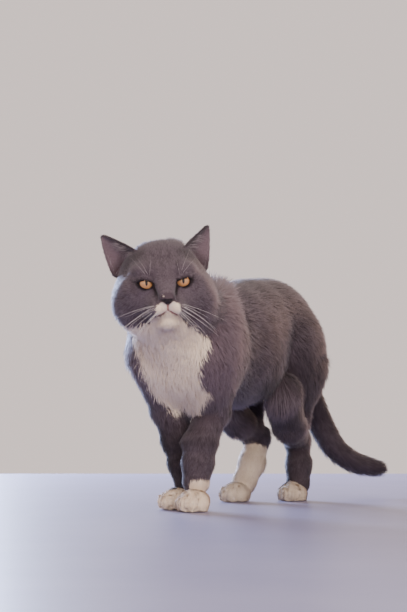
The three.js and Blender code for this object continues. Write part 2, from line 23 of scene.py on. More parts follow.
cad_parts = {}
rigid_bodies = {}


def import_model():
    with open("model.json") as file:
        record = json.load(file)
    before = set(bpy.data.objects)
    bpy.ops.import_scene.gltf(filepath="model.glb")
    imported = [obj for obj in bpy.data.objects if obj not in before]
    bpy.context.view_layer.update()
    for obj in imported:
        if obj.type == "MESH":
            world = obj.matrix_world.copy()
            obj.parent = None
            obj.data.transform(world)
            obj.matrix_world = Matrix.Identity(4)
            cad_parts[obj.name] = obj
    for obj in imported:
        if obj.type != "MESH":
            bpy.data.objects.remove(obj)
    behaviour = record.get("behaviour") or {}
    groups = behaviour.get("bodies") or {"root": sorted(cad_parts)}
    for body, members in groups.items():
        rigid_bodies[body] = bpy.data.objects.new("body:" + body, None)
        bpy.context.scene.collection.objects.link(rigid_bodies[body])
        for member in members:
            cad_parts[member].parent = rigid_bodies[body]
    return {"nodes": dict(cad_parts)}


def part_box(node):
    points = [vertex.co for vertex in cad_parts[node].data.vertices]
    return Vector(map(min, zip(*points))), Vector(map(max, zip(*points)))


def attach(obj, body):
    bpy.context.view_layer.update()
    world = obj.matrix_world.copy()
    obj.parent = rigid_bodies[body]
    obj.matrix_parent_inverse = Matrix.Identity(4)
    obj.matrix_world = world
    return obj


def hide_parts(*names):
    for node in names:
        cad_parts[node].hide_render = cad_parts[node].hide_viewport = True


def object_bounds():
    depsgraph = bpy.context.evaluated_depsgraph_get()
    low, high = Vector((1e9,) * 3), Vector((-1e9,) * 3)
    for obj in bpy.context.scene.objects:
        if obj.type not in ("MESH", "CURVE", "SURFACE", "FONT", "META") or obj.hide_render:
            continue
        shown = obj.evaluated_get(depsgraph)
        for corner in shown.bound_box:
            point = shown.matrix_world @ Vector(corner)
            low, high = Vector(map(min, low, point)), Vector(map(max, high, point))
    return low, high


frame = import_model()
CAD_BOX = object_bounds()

Points = np.ndarray  # one row of x, y, z for each point
Levels = np.ndarray  # one number for each point: a share, or how far it lies outside a form
Picks = np.ndarray  # yes or no for each point
Triple = tuple[float, float, float]
Form = Callable[[Points], Levels]
Picker = Callable[[Points], Picks]

MM = 0.001  # metres in a millimetre
SEED = 20
LOG = logging.getLogger("cat")


# ------------ forms of the body


@dataclass(frozen=True)
class Egg:
    """An ellipsoid given by its centre and its three half sizes."""

    centre: Triple
    radii: Triple

    def level(self, points: Points) -> Levels:
        """Roughly how far each point lies outside the egg.

        Args:
            points: Places in the egg's frame.

        Returns:
            The levels, in millimetres.
        """
        radii = np.asarray(self.radii)
        scaled = (points - np.asarray(self.centre)) / radii
        reach = np.linalg.norm(scaled, axis=1)
        slope = np.linalg.norm(scaled / radii, axis=1)
        return reach * (reach - 1.0) / np.maximum(slope, 1e-9)

    def mirrored(self) -> "Egg":
        """The same egg on the other side of the middle plane."""
        x, y, z = self.centre
        return Egg((-x, y, z), self.radii)


@dataclass(frozen=True)
class Bar:
    """A round bar that tapers from its top to its foot and has ball ends."""

    top: Triple
    top_radius: float
    foot: Triple
    foot_radius: float

    def level(self, points: Points) -> Levels:
        """How far each point lies outside the bar.

        Args:
            points: Places in the bar's frame.

        Returns:
            The levels, in millimetres.
        """
        top = np.asarray(self.top)
        axis = np.asarray(self.foot) - top
        share = np.clip((points - top) @ axis / (axis @ axis), 0.0, 1.0)
        radius = self.top_radius + share * (self.foot_radius - self.top_radius)
        return np.linalg.norm(points - top - share[:, None] * axis, axis=1) - radius

    def mirrored(self) -> "Bar":
        """The same bar on the other side of the middle plane."""
        ends = [(-x, y, z) for x, y, z in (self.top, self.foot)]
        return Bar(ends[0], self.top_radius, ends[1], self.foot_radius)


def both(*forms: Egg | Bar) -> list[Egg | Bar]:
    """Forms together with their mirror images."""
    return [side for form in forms for side in (form, form.mirrored())]


def all_levels(points: Points, *forms: Egg | Bar) -> list[Levels]:
    """How far each point lies outside each form."""
    return [form.level(points) for form in forms]


def blend(softness: float, *levels: Levels) -> Levels:
    """Forms joined with a soft fillet.

    Args:
        softness: Width of the fillet.
        levels: The forms' levels.

    Returns:
        The joined form's level.
    """
    nearest = levels[0]
    for level in levels[1:]:
        overlap = np.maximum(softness - np.abs(nearest - level), 0.0) / softness
        nearest = np.minimum(nearest, level) - overlap * overlap * softness / 4.0
    return nearest


def carve(softness: float, level: Levels, *tools: Levels) -> Levels:
    """A form with other forms taken out of it, with softened rims.

    Args:
        softness: Width of the rims.
        level: The form's level.
        tools: The levels of what is taken out.

    Returns:
        What is left.
    """
    for tool in tools:
        level = -blend(softness, -level, tool)
    return level


@dataclass(frozen=True)
class Leg:
    """One leg: its joints from the top down, with the coat's radius at each, and its paw."""

    joints: tuple[tuple[Triple, float], ...]
    paw_at: tuple[float, float]
    paw_half: tuple[float, float]
    knuckle: float
    turn: float
    hamstring: Optional[Bar] = None


SIDES = {"left": 1, "right": -1}

TRUNK = (
    Egg((-5, -78, 194), (62, 72, 73)),  # rib cage
    Egg((-1, 20, 205), (65, 105, 74)),  # belly
    Egg((0, 85, 228), (54, 84, 61)),  # loins
    Egg((1, 137, 214), (62, 77, 76)),  # rump
    Egg((29, -100, 196), (29, 48, 60)),  # left shoulder
    Egg((-37, -100, 202), (27, 48, 54)),  # right shoulder
    Egg((46, 132, 185), (31, 57, 58)),  # left thigh
    Egg((-42, 112, 183), (31, 57, 58)),  # right thigh
)
TAIL_ROOT = Bar((0, 196, 238), 24, (4, 224, 205), 19)
NECK = Bar((-7, -150, 240), 53, (-8, -110, 210), 60)
LEGS = {
    "fore_left": Leg(
        (
            ((28, -118, 185), 33),  # shoulder point
            ((22, -86, 125), 22),  # elbow
            ((16.5, -108, 84), 20.5),
            ((15.7, -113, 60), 18.5),
            ((15, -117, 36), 17),  # wrist
        ),
        paw_at=(19, -130), paw_half=(19, 24), knuckle=28, turn=4,
    ),
    "fore_right": Leg(
        (
            ((-38, -118, 185), 33),
            ((-35, -90, 125), 23.5),
            ((-25, -84, 86), 20.5),
            ((-17.8, -84, 58), 18.5),
            ((-13, -84, 34), 16.5),
        ),
        paw_at=(-18, -97), paw_half=(18.5, 24), knuckle=28, turn=-22,
    ),
    "hind_left": Leg(
        (
            ((47, 70, 146), 26),  # knee
            ((37.5, 120, 100), 21.5),
            ((30, 166, 80), 16.5),  # hock
            ((35, 159, 48), 16),
            ((36, 154, 23), 16),
        ),
        paw_at=(34.5, 141), paw_half=(18, 25), knuckle=27, turn=12,
        hamstring=Bar((42, 148, 172), 31, (35, 146, 104), 19),
    ),
    "hind_right": Leg(
        (
            ((-43, 46, 142), 26),
            ((-30, 104, 105), 21),
            ((-20, 146, 84), 17),
            ((-18, 127, 50), 16.5),
            ((-22, 109, 24), 16.5),
        ),
        paw_at=(-24.5, 91), paw_half=(18.5, 26), knuckle=27, turn=-8,
        hamstring=Bar((-40, 138, 170), 34, (-27, 132, 104), 20),
    ),
}
TOE_HALF = (8.2, 12.2, 10.4)
TOE_SPREAD = (-0.69, -0.24, 0.24, 0.69)  # shares of the paw's half width
TOE_REACH = (-0.29, -0.67, -0.67, -0.29)  # shares of the paw's half length
TAIL_PATH = (
    (0, 196, 238),
    (4, 224, 205),
    (11, 243, 153),
    (24, 256, 108),
    (43, 263, 70),
    (63, 275, 50.5),
    (84, 289, 41),
    (104, 302, 37),
)
TAIL_RADII = (21.0, 18.0, 13.5)  # at the root, the middle and the tip
TAIL_BLEND = 6.0

HEAD_AT = np.array([15.0, -202.0, 267.0])  # between the eyes, level with the fronts of the eyeballs
HEAD_TURN, HEAD_NOD, HEAD_ROLL = 31.5, 5.0, 4.0  # degrees: to his left, down, to his right ear
SKULL = (Egg((0, 2, -48), (50, 48.5, 50)), Egg((0, -8, -84), (48, 45, 40)))
CHEEKS = (
    Egg((34, -21, -38), (27, 30, 33)),  # jowl
    Egg((31, -6, -20), (18, 14, 16)),  # cheekbone
    Egg((20, 14, -14), (16, 9, 15)),  # brow
)
MUZZLE = (
    Egg((0, -27, -4), (23, 19, 23)),  # root of the muzzle
    Egg((0, -44, 2), (12, 8.5, 12)),  # chin
    Egg((10, -28.5, 11), (11.5, 9.5, 11.5)),  # whisker pads
    Egg((-10, -28.5, 11), (11.5, 9.5, 11.5)),
    Egg((0, -18.5, 18.5), (8, 6, 7)),  # end of the nose
)
NOSE_BRIDGE = Bar((0, 8, -6), 10, (0, -14, 14), 7.5)
EYE_ACROSS, EYE_RADIUS, EYE_DEPTH = 43.0, 11.0, -10.0
LID = 1.4  # how far the lids stand over the eyeball, with their coat

EAR_OUTER, EAR_INNER = np.array([55.0, 14, -60]), np.array([26.0, 40, -36])
EAR_TIP = {"left": np.array([60.0, 62, -56]), "right": np.array([65.5, 58, -56])}
EAR_CUP = 9.0


def unit(vectors: Points) -> Points:
    """Vectors brought to length one."""
    return vectors / np.maximum(np.linalg.norm(vectors, axis=1, keepdims=True), 1e-9)


def turned(axis: str, degrees: float) -> np.ndarray:
    """The 3 x 3 matrix of a turn about an axis."""
    return np.array(Matrix.Rotation(math.radians(degrees), 3, axis))


HEAD_AXES = turned("Z", HEAD_TURN) @ turned("X", 90 + HEAD_NOD) @ turned("Z", HEAD_ROLL)


def to_head(points: Points) -> Points:
    """Points of the body's frame in the head's frame: x to his left, y up and z out of the face."""
    return (points - HEAD_AT) @ HEAD_AXES


def from_head(points: Points) -> Points:
    """Points of the head's frame in the body's frame."""
    return np.asarray(points) @ HEAD_AXES.T + HEAD_AT


def eye_centre(side: str) -> np.ndarray:
    """The middle of an eyeball, in the head's frame."""
    return np.array([SIDES[side] * EYE_ACROSS / 2, 0.0, EYE_DEPTH])


HEAD_SPAN = from_head([(-62, -60, -125), (62, 52, 30), (62, -60, 30), (-62, 52, -125)])


def head_level(points: Points) -> Levels:
    """How far points of the head's frame lie outside the head and its coat.

    Args:
        points: Places in the head's frame.

    Returns:
        The levels, in millimetres.
    """
    bulk = blend(13, *all_levels(points, *SKULL, *both(*CHEEKS)))
    muzzle = blend(6, *all_levels(points, *MUZZLE))
    face = blend(6, muzzle, NOSE_BRIDGE.level(points))
    radius = EYE_RADIUS + LID
    lids = (Egg(tuple(eye_centre(side)), (radius,) * 3).level(points) for side in SIDES)
    return blend(6, blend(13, bulk, face), *lids)


def paw_points(leg: Leg, points: Points) -> Points:
    """Points of the body's frame in the frame of a paw, which faces -Y."""
    axes = turned("Z", leg.turn)
    return (points - np.array([*leg.paw_at, 0.0])) @ axes


def beside_paw(leg: Leg, points: Points) -> Levels:
    """How far points lie from the middle of a paw, level with the floor."""
    return np.linalg.norm(points[:, :2] - np.array(leg.paw_at), axis=1)


def paw_level(leg: Leg, points: Points) -> Levels:
    """How far points lie outside a paw.

    Args:
        leg: Its leg.
        points: Places in the body's frame.

    Returns:
        The paw's level.
    """
    half_width, half_length = leg.paw_half
    rise = leg.knuckle * 0.44
    foot = Egg((0, 0, rise), (half_width * 0.98, half_length * 0.92, leg.knuckle - rise))
    toes = [
        Egg((spread * half_width, reach * half_length, TOE_HALF[2] * 0.9), TOE_HALF)
        for spread, reach in zip(TOE_SPREAD, TOE_REACH)
    ]
    local = paw_points(leg, points)
    return blend(4, *all_levels(local, foot, *toes))


def leg_level(leg: Leg, points: Points) -> Levels:
    """How far points lie outside a leg.

    Args:
        leg: The leg.
        points: Places in the body's frame.

    Returns:
        The leg's level, paw and all.
    """
    bones = [Bar(*upper, *lower) for upper, lower in zip(leg.joints, leg.joints[1:])]
    if leg.hamstring:
        bones.append(leg.hamstring)
    return blend(4, blend(9, *all_levels(points, *bones)), paw_level(leg, points))


def curve_through(path: Iterable[Triple], count: int) -> Points:
    """Points along a smooth curve through some places.

    Args:
        path: The places.
        count: How many points each stretch between two of them gets.

    Returns:
        The points.
    """
    spots = np.array(path, float)
    spots = np.vstack([2 * spots[0] - spots[1], spots, 2 * spots[-1] - spots[-2]])
    shares = np.linspace(0, 1, count, endpoint=False)[:, None]
    stretches = []
    for a, b, c, d in zip(spots, spots[1:], spots[2:], spots[3:]):
        rise, bend = c - a, 2 * a - 5 * b + 4 * c - d
        stretches.append(b + 0.5 * shares * (rise + shares * (bend + shares * (3 * b - a - 3 * c + d))))
    return np.vstack([*stretches, spots[-2]])


def tail_bars() -> list[Bar]:
    """The tail as short round bars along its curve, with a round end.

    Returns:
        The bars, from the root to the tip.
    """
    spots = curve_through(TAIL_PATH, 3)
    shares = np.linspace(0, 1, len(spots))
    radii = np.interp(shares, (0, 0.5, 1), TAIL_RADII)
    ahead = unit((spots[-1] - spots[-2])[None])[0]
    spots[-1] -= ahead * radii[-1]
    ends = [(tuple(spot), radius) for spot, radius in zip(spots, radii)]
    return [Bar(*upper, *lower) for upper, lower in zip(ends, ends[1:])]


TAIL_BARS = tail_bars()
FAR = 500.0  # a level far outside every form
MARGIN = 45.0  # how far round a limb its form can matter


def near(spots: Iterable[Triple], points: Points, level: Form) -> Levels:
    """A form's level, worked out only near some places of it.

    Args:
        spots: The places.
        points: Where the level is wanted.
        level: The form.

    Returns:
        The level, which is far outside elsewhere.
    """
    box = np.array(list(spots), float)
    inside = np.all((points > box.min(axis=0) - MARGIN) & (points < box.max(axis=0) + MARGIN), axis=1)
    result = np.full(len(points), FAR)
    result[inside] = level(points[inside])
    return result


def body_level(points: Points) -> Levels:
    """How far points of the body's frame lie outside the whole cat, but for his ears.

    Args:
        points: Places in the body's frame.

    Returns:
        The levels, in millimetres.
    """
    torso = blend(26, *all_levels(points, *TRUNK, TAIL_ROOT))
    torso = blend(30, torso, NECK.level(points))
    body = torso
    for leg in LEGS.values():
        joints = [place for place, _ in leg.joints] + [(*leg.paw_at, 0)]
        limb = near(joints, points, lambda some: leg_level(leg, some))
        body = np.minimum(body, blend(20, torso, limb))
    tail = near(TAIL_PATH, points, lambda some: np.minimum.reduce(all_levels(some, *TAIL_BARS)))
    head = near(HEAD_SPAN, points, lambda some: head_level(to_head(some)))
    return blend(22, blend(TAIL_BLEND, body, tail), head)


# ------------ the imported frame


def find_shift() -> np.ndarray:
    """Where the body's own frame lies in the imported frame, from the places of the two eyes.

    Returns:
        The shift, in millimetres.
    """
    corners = np.array([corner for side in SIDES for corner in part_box(f"eye_{side}")])
    middle = corners.mean(axis=0) / MM
    return middle - from_head([(0.0, 0.0, EYE_DEPTH)])[0]


SHIFT = find_shift()


def to_metres(points: Points) -> Points:
    """Points of the body's frame, in millimetres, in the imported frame, in metres."""
    return (np.asarray(points) + SHIFT) * MM


def to_millimetres(points: Points) -> Points:
    """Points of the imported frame, in metres, in the body's frame, in millimetres."""
    return np.asarray(points) / MM - SHIFT


# ------------ small tools


def deselect_all() -> None:
    """Leaves nothing selected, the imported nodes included."""
    bpy.context.view_layer.update()
    for thing in bpy.context.view_layer.objects:
        thing.select_set(False)
    bpy.context.view_layer.objects.active = None


def pick(thing: Object) -> None:
    """Selects one object and makes it active.

    Args:
        thing: The object.
    """
    deselect_all()
    thing.hide_set(False)
    thing.select_set(True)
    bpy.context.view_layer.objects.active = thing


def apply_modifier(thing: Object, kind: str, **settings: object) -> None:
    """Adds a modifier to an object and applies it at once.

    Args:
        thing: The object.
        kind: The modifier's type, as in bpy.
        settings: The modifier's settings.
    """
    pick(thing)
    modifier = thing.modifiers.new(kind.title(), kind)
    for name, value in settings.items():
        setattr(modifier, name, value)
    bpy.ops.object.modifier_apply(modifier=modifier.name)


@contextmanager
def editing(thing: Object) -> Iterator[None]:
    """Opens an object for edit operators, with all of it selected.

    Args:
        thing: The object.

    Yields:
        Nothing, while the object is open.
    """
    pick(thing)
    bpy.ops.object.mode_set(mode="EDIT")
    bpy.ops.mesh.select_all(action="SELECT")
    yield
    bpy.ops.object.mode_set(mode="OBJECT")


def piece_of(name: str, data: bpy.types.ID) -> Object:
    """A mesh, a light or a camera as an object of the scene.

    Args:
        name: The object's name.
        data: What it shows.

    Returns:
        The object.
    """
    piece = bpy.data.objects.new(name, data)
    bpy.context.scene.collection.objects.link(piece)
    return piece


def drawn(mesh: Mesh) -> Points:
    """A mesh's vertices as they are stored in it.

    Args:
        mesh: The mesh.

    Returns:
        One row to a vertex.
    """
    flat = np.empty(len(mesh.vertices) * 3)
    mesh.vertices.foreach_get("co", flat)
    return flat.reshape(-1, 3)


def places(mesh: Mesh) -> Points:
    """A mesh's vertices in the body's frame, in millimetres."""
    return to_millimetres(drawn(mesh))


def move_to(mesh: Mesh, points: Points) -> None:
    """Moves a mesh's vertices to places of the body's frame, in millimetres."""
    mesh.vertices.foreach_set("co", to_metres(points).astype(np.float32).ravel())
    mesh.update()


def vertex_normals(mesh: Mesh) -> Points:
    """The smooth normals of a mesh's vertices.

    Args:
        mesh: The mesh.

    Returns:
        One unit row to a vertex.
    """
    flat = np.empty(len(mesh.vertices) * 3, np.float32)
    mesh.vertex_normals.foreach_get("vector", flat)
    return flat.reshape(-1, 3).astype(float)


def store(mesh: Mesh, name: str, values: Levels) -> None:
    """Keeps one number for each vertex in a mesh, for its material to read."""
    attribute = mesh.attributes.new(name, "FLOAT", "POINT")
    attribute.data.foreach_set("value", np.asarray(values, np.float32))


def fade(values: Levels, start: float, end: float) -> Levels:
    """A smooth step from 0 at start to 1 at end, which may be the lower of the two."""
    share = np.clip((values - start) / (end - start), 0.0, 1.0)
    return share * share * (3.0 - 2.0 * share)


def ripple(points: Points, size: float, seed: int) -> Levels:
    """Gentle random hills and hollows between about -1 and 1.

    Args:
        points: Where to read them.
        size: Width of a hill, in millimetres.
        seed: Picks one pattern out of many.

    Returns:
        The height at each point.
    """
    random = np.random.default_rng(seed)
    waves = 7
    directions = unit(random.normal(size=(waves, 3))) * random.uniform(0.7, 1.4, (waves, 1)) * math.pi / size
    phases = random.uniform(0, 2 * math.pi, waves)
    return np.sin(points @ directions.T + phases).mean(axis=1) * 1.6


# ------------ lie and depth of the coat


class Part(Enum):
    """Parts of the coat, each of which becomes meshes of its own."""

    FACE = "face"
    HEAD = "head"
    EARS = "ears"
    NECK = "neck"
    CHEST = "chest"
    BODY = "body"
    RUMP = "rump"
    FORELEGS = "forelegs"
    HINDLEGS = "hindlegs"
    TAIL = "tail"


@dataclass(frozen=True)
class Zone:
    """How the coat lies and how deep it is round one place on the body."""

    part: Part
    place: Triple
    reach: float
    lie: Triple
    depth: float


# Places and directions in the head's frame, each mirrored to the other side unless it is in the middle.
HEAD_ZONES = (
    Zone(Part.FACE, (0, -18.5, 25), 4, (0, 0.4, -0.3), 0.2),  # nose leather
    Zone(Part.FACE, (0, -6, 15), 7, (0, 1, -0.45), 1.3),  # bridge of the nose
    Zone(Part.FACE, (0, 9, 4), 8, (0, 1, -0.3), 2.0),
    Zone(Part.FACE, (0, 27, -4), 12, (0, 0.8, -0.6), 3.6),  # forehead
    Zone(Part.HEAD, (0, 44, -26), 14, (0, 0.35, -0.95), 5.5),
    Zone(Part.HEAD, (0, 50, -52), 17, (0, -0.05, -1), 7.5),  # crown
    Zone(Part.HEAD, (0, 36, -86), 20, (0, -0.5, -0.9), 9.5),  # nape
    Zone(Part.FACE, (21.5, 1, 1.5), 6, (0.5, 0.15, -0.4), 0.7),  # lids
    Zone(Part.FACE, (20, 14, -1), 7, (0.25, 0.9, -0.4), 2.2),  # brow
    Zone(Part.FACE, (12.5, -6, 8), 5, (0.45, 0.3, -0.6), 1.0),  # inner corner of the eye
    Zone(Part.FACE, (22, -13, 2), 7, (0.85, -0.35, -0.4), 1.8),  # under the eye
    Zone(Part.FACE, (34, 2, -8), 8, (0.75, 0.05, -0.8), 3.0),  # temple
    Zone(Part.HEAD, (28, 30, -18), 12, (0.35, 0.7, -0.6), 4.0),  # front of the ear
    Zone(Part.HEAD, (50, 10, -40), 12, (0.3, -0.1, -0.95), 5.0),  # under the ear
    Zone(Part.HEAD, (44, -10, -22), 11, (0.45, -0.3, -0.85), 5.5),  # cheekbone
    Zone(Part.HEAD, (52, -26, -40), 15, (0.25, -0.5, -0.85), 8.5),  # jowl
    Zone(Part.HEAD, (36, -44, -22), 12, (0.35, -0.75, -0.5), 6.5),
    Zone(Part.FACE, (11, -27, 22), 5, (0.75, -0.45, -0.3), 1.1),  # whisker pad
    Zone(Part.FACE, (19, -29, 10), 7, (0.75, -0.35, -0.6), 1.8),
    Zone(Part.FACE, (26, -22, 2), 8, (0.8, -0.35, -0.6), 2.6),
    Zone(Part.FACE, (0, -45, 14), 6, (0, -0.9, 0.1), 2.0),  # chin
    Zone(Part.HEAD, (0, -54, 0), 9, (0, -0.85, -0.45), 4.5),
    Zone(Part.HEAD, (18, -50, -6), 10, (0.35, -0.85, -0.4), 5.0),
    Zone(Part.NECK, (0, -62, -30), 16, (0, -0.9, -0.3), 9.0),  # throat
    Zone(Part.NECK, (44, -34, -72), 18, (0.15, -0.5, -0.9), 10.0),
)


def two_zones(part: Part, left: Triple, right: Triple, reach: float, lie: Triple, depth: float) -> list[Zone]:
    """Zones of both sides, whose places differ with his stance. The lie is the left one's."""
    return [Zone(part, left, reach, lie, depth), Zone(part, right, reach, (-lie[0], *lie[1:]), depth)]


# Places and directions in the body's frame.
BODY_ZONES = (
    Zone(Part.CHEST, (-6, -200, 196), 22, (0, -0.1, -1), 12.0),  # bib
    Zone(Part.CHEST, (-6, -170, 160), 22, (0, 0.15, -1), 13.0),
    Zone(Part.CHEST, (-8, -140, 128), 18, (0, 0.5, -0.9), 11.0),
    *two_zones(Part.NECK, (48, -160, 220), (-60, -160, 220), 24, (0.1, 0.35, -0.95), 10.0),
    Zone(Part.NECK, (-6, -108, 282), 26, (0, 1, -0.2), 9.5),  # withers
    *two_zones(Part.NECK, (54, -108, 236), (-66, -108, 236), 24, (0.1, 0.75, -0.65), 9.5),
    *two_zones(Part.BODY, (58, -96, 190), (-66, -96, 190), 26, (0, 0.45, -0.9), 8.5),  # shoulders
    Zone(Part.BODY, (0, -30, 284), 34, (0, 1, 0), 9.0),  # back
    Zone(Part.BODY, (0, 60, 288), 34, (0, 1, 0), 9.0),
    *two_zones(Part.BODY, (66, -10, 210), (-66, -10, 210), 36, (0, 0.85, -0.5), 9.5),  # flanks
    *two_zones(Part.BODY, (62, 60, 220), (-62, 60, 220), 32, (0, 0.9, -0.45), 9.5),
    Zone(Part.BODY, (0, -40, 126), 26, (0, 0.95, -0.2), 10.5),  # belly
    Zone(Part.BODY, (0, 40, 132), 28, (0, 0.95, -0.2), 11.0),
    Zone(Part.RUMP, (0, 150, 278), 30, (0, 0.95, -0.3), 9.5),
    Zone(Part.RUMP, (0, 205, 240), 24, (0, 0.5, -0.85), 9.0),
    *two_zones(Part.RUMP, (66, 128, 215), (-64, 118, 215), 30, (0.05, 0.65, -0.75), 9.0),  # thighs
    *two_zones(Part.RUMP, (70, 130, 165), (-68, 112, 165), 26, (0, 0.3, -0.95), 8.5),
    *two_zones(Part.RUMP, (38, 186, 170), (-38, 176, 170), 22, (0, 0.25, -0.97), 11.0),  # behind them
)
LEG_DEPTHS = {"fore": (8.0, 6.5, 5.5, 4.2, 3.0), "hind": (8.5, 7.0, 5.2, 4.2, 3.0)}  # from the top down
LEG_REACH = 17.0
PAW_DEPTH, PAW_REACH = 1.1, 20.0
PAW_FORWARD, PAW_HEIGHT, PAW_SLOPE = 12.0, 12.0, 0.45  # where its zone lies, and how its hair slopes
SOLE_DEPTH = 0.5
TAIL_DEPTH, TAIL_REACH = 7.5, 22.0


def head_zones() -> list[Zone]:
    """The head's zones on both sides, in the body's frame.

    Returns:
        The zones.
    """
    zones = []
    for zone in HEAD_ZONES:
        x, y, z = zone.place
        across, up, out = zone.lie
        for side in (1, -1) if x else (1,):
            place = from_head([(side * x, y, z)])[0]
            lie = HEAD_AXES @ np.array([side * across, up, out])
            zones.append(Zone(zone.part, tuple(place), zone.reach, tuple(lie), zone.depth))
    return zones


def ways_along(spots: Points) -> Points:
    """The way on at each place of a path.

    Args:
        spots: The path's places, in order.

    Returns:
        One unit row to a place.
    """
    last = len(spots) - 1
    steps = [spots[min(i + 1, last)] - spots[max(i - 1, 0)] for i in range(last + 1)]
    return np.array([step / np.linalg.norm(step) for step in steps])


def leg_zones() -> list[Zone]:
    """Zones down every leg and on its paw, from its joints.

    Returns:
        The zones.
    """
    zones = []
    for name, leg in LEGS.items():
        end = name.split("_")[0]
        part = Part.FORELEGS if end == "fore" else Part.HINDLEGS
        spots = np.array([place for place, _ in leg.joints], float)
        for spot, way, depth in zip(spots, ways_along(spots), LEG_DEPTHS[end]):
            zones.append(Zone(part, tuple(spot), LEG_REACH, tuple(way), depth))
        forward = turned("Z", leg.turn) @ np.array([0.0, -1.0, 0.0])
        toes = np.array([*leg.paw_at, PAW_HEIGHT]) + PAW_FORWARD * forward
        zones.append(Zone(part, tuple(toes), PAW_REACH, tuple(forward - [0, 0, PAW_SLOPE]), PAW_DEPTH))
    return zones


def tail_zones() -> list[Zone]:
    """Zones along the tail, past its root.

    Returns:
        The zones.
    """
    spots = np.array(TAIL_PATH, float)
    pairs = list(zip(spots, ways_along(spots)))[1:]
    return [Zone(Part.TAIL, tuple(spot), TAIL_REACH, tuple(way), TAIL_DEPTH) for spot, way in pairs]


class CoatMap:
    """The lie and the depth of the coat everywhere, blended from the zones."""

    def __init__(self) -> None:
        """Gathers the zones of head, body, legs and tail."""
        self.zones = [*head_zones(), *BODY_ZONES, *leg_zones(), *tail_zones()]
        self.places = np.array([zone.place for zone in self.zones], float)
        self.reaches = np.array([zone.reach for zone in self.zones], float)
        self.lies = np.array([zone.lie for zone in self.zones], float)
        self.depths = np.array([zone.depth for zone in self.zones], float)
        self.parts = np.array([list(Part).index(zone.part) for zone in self.zones])

    def weights(self, points: Points) -> np.ndarray:
        """How much each zone counts at each point. Small zones win over the large ones round them.

        Args:
            points: Places in the body's frame.

        Returns:
            One row to a point and one column to a zone.
        """
        steps = points[:, None, :] - self.places[None]
        distance2 = np.einsum("pzi,pzi->pz", steps, steps) / self.reaches**2
        nearest = distance2.min(axis=1, keepdims=True)
        weights = np.exp(-0.5 * (distance2 - nearest)) / self.reaches**1.5
        return weights / weights.sum(axis=1, keepdims=True)

    def read(self, points: Points) -> tuple[Levels, Points, np.ndarray]:
        """The coat at some points.

        Args:
            points: Places in the body's frame.

        Returns:
            The coat's depth, its lie and its part, as a place in the list of parts.
        """
        depths, lies, parts = [], [], []
        for some in np.array_split(points, max(1, len(points) // 20000)):
            weights = self.weights(some)
            depths.append(weights @ self.depths)
            lies.append(unit(weights @ self.lies))
            parts.append(self.parts[weights.argmax(axis=1)])
        return np.concatenate(depths), np.concatenate(lies), np.concatenate(parts)


# ------------ markings


BIB_HEIGHTS = (100, 107, 122, 130, 138, 148, 169, 193, 206, 222)
BIB_RIGHT = (-12, -14, -23, -26, -30, -36, -39.5, -41, -42, -44)  # its edge on the cat's right, as x
BIB_LEFT = (-12, -9, -1, 8, 26, 34, 31.5, 37, 43, 34)
WHITE_HEAD = (
    Egg((6.5, -30.3, 18), (6.5, 9.2, 14)),  # whisker pads
    Egg((-6.5, -30.3, 18), (6.5, 9.2, 14)),
    Egg((0, -45, 4), (19, 10.5, 20)),  # chin
    Egg((-3, -75, -22), (40, 20, 40)),  # throat
)
NOSE_SPOT = Egg((-4.2, -14.4, 19), (2.8, 2.6, 6))  # a small pale spot over the nose leather
SOCKS = {"fore_right": (23.0, 23.0), "fore_left": (25.0, 41.0), "hind_right": (92.0, 92.0)}
MARK_EDGE = 0.9  # half the width in which blue and white hairs mix
MARK_RIPPLE, MARK_RIPPLE_SIZE = 1.6, 9.0  # how far the edges of the markings wander, and over what length


def bib_level(points: Points) -> Levels:
    """How far points lie outside the white bib.

    Args:
        points: Places in the body's frame.

    Returns:
        The levels, in millimetres.
    """
    x, y, z = points.T
    right = np.interp(z, BIB_HEIGHTS, BIB_RIGHT)
    left = np.interp(z, BIB_HEIGHTS, BIB_LEFT)
    behind = y + 98 + 0.32 * (z - 104)
    return np.maximum.reduce([x - left, right - x, behind, 102 - z, z - 226])


def sock_level(name: str, points: Points) -> Levels:
    """How far points lie outside the white of one foot.

    Args:
        name: Its leg.
        points: Places in the body's frame.

    Returns:
        The level of its white part.
    """
    leg = LEGS[name]
    side, forward, up = paw_points(leg, points).T
    away = beside_paw(leg, points) - 60  # the other legs
    if name == "hind_left":
        toes = np.maximum(forward + 5, up - 27)
        return np.maximum(toes, away)
    inner, outer = SOCKS[name]
    outwards = side * (1 if name.endswith("left") else -1)
    top = inner + (outer - inner) * fade(outwards, -9, -3)
    slope = 0.35 * forward if name == "hind_right" else 0.0
    return np.maximum(up - top + slope, away)


def white_share(points: Points) -> Levels:
    """1 where the coat is white and 0 where it is blue, with wandering edges.

    Args:
        points: Places in the body's frame.

    Returns:
        The shares, from 0 to 1.
    """
    local = to_head(points)
    wander = MARK_RIPPLE * ripple(points, MARK_RIPPLE_SIZE, 3)
    head = blend(5, *all_levels(local, *WHITE_HEAD)) + 0.35 * wander
    head = np.minimum(head, NOSE_SPOT.level(local) + 1.5)
    feet = [sock_level(name, points) for name in LEGS]
    body = np.minimum.reduce([bib_level(points), *feet]) + wander
    return fade(blend(6, head, body), MARK_EDGE, -MARK_EDGE)


# ------------ skin


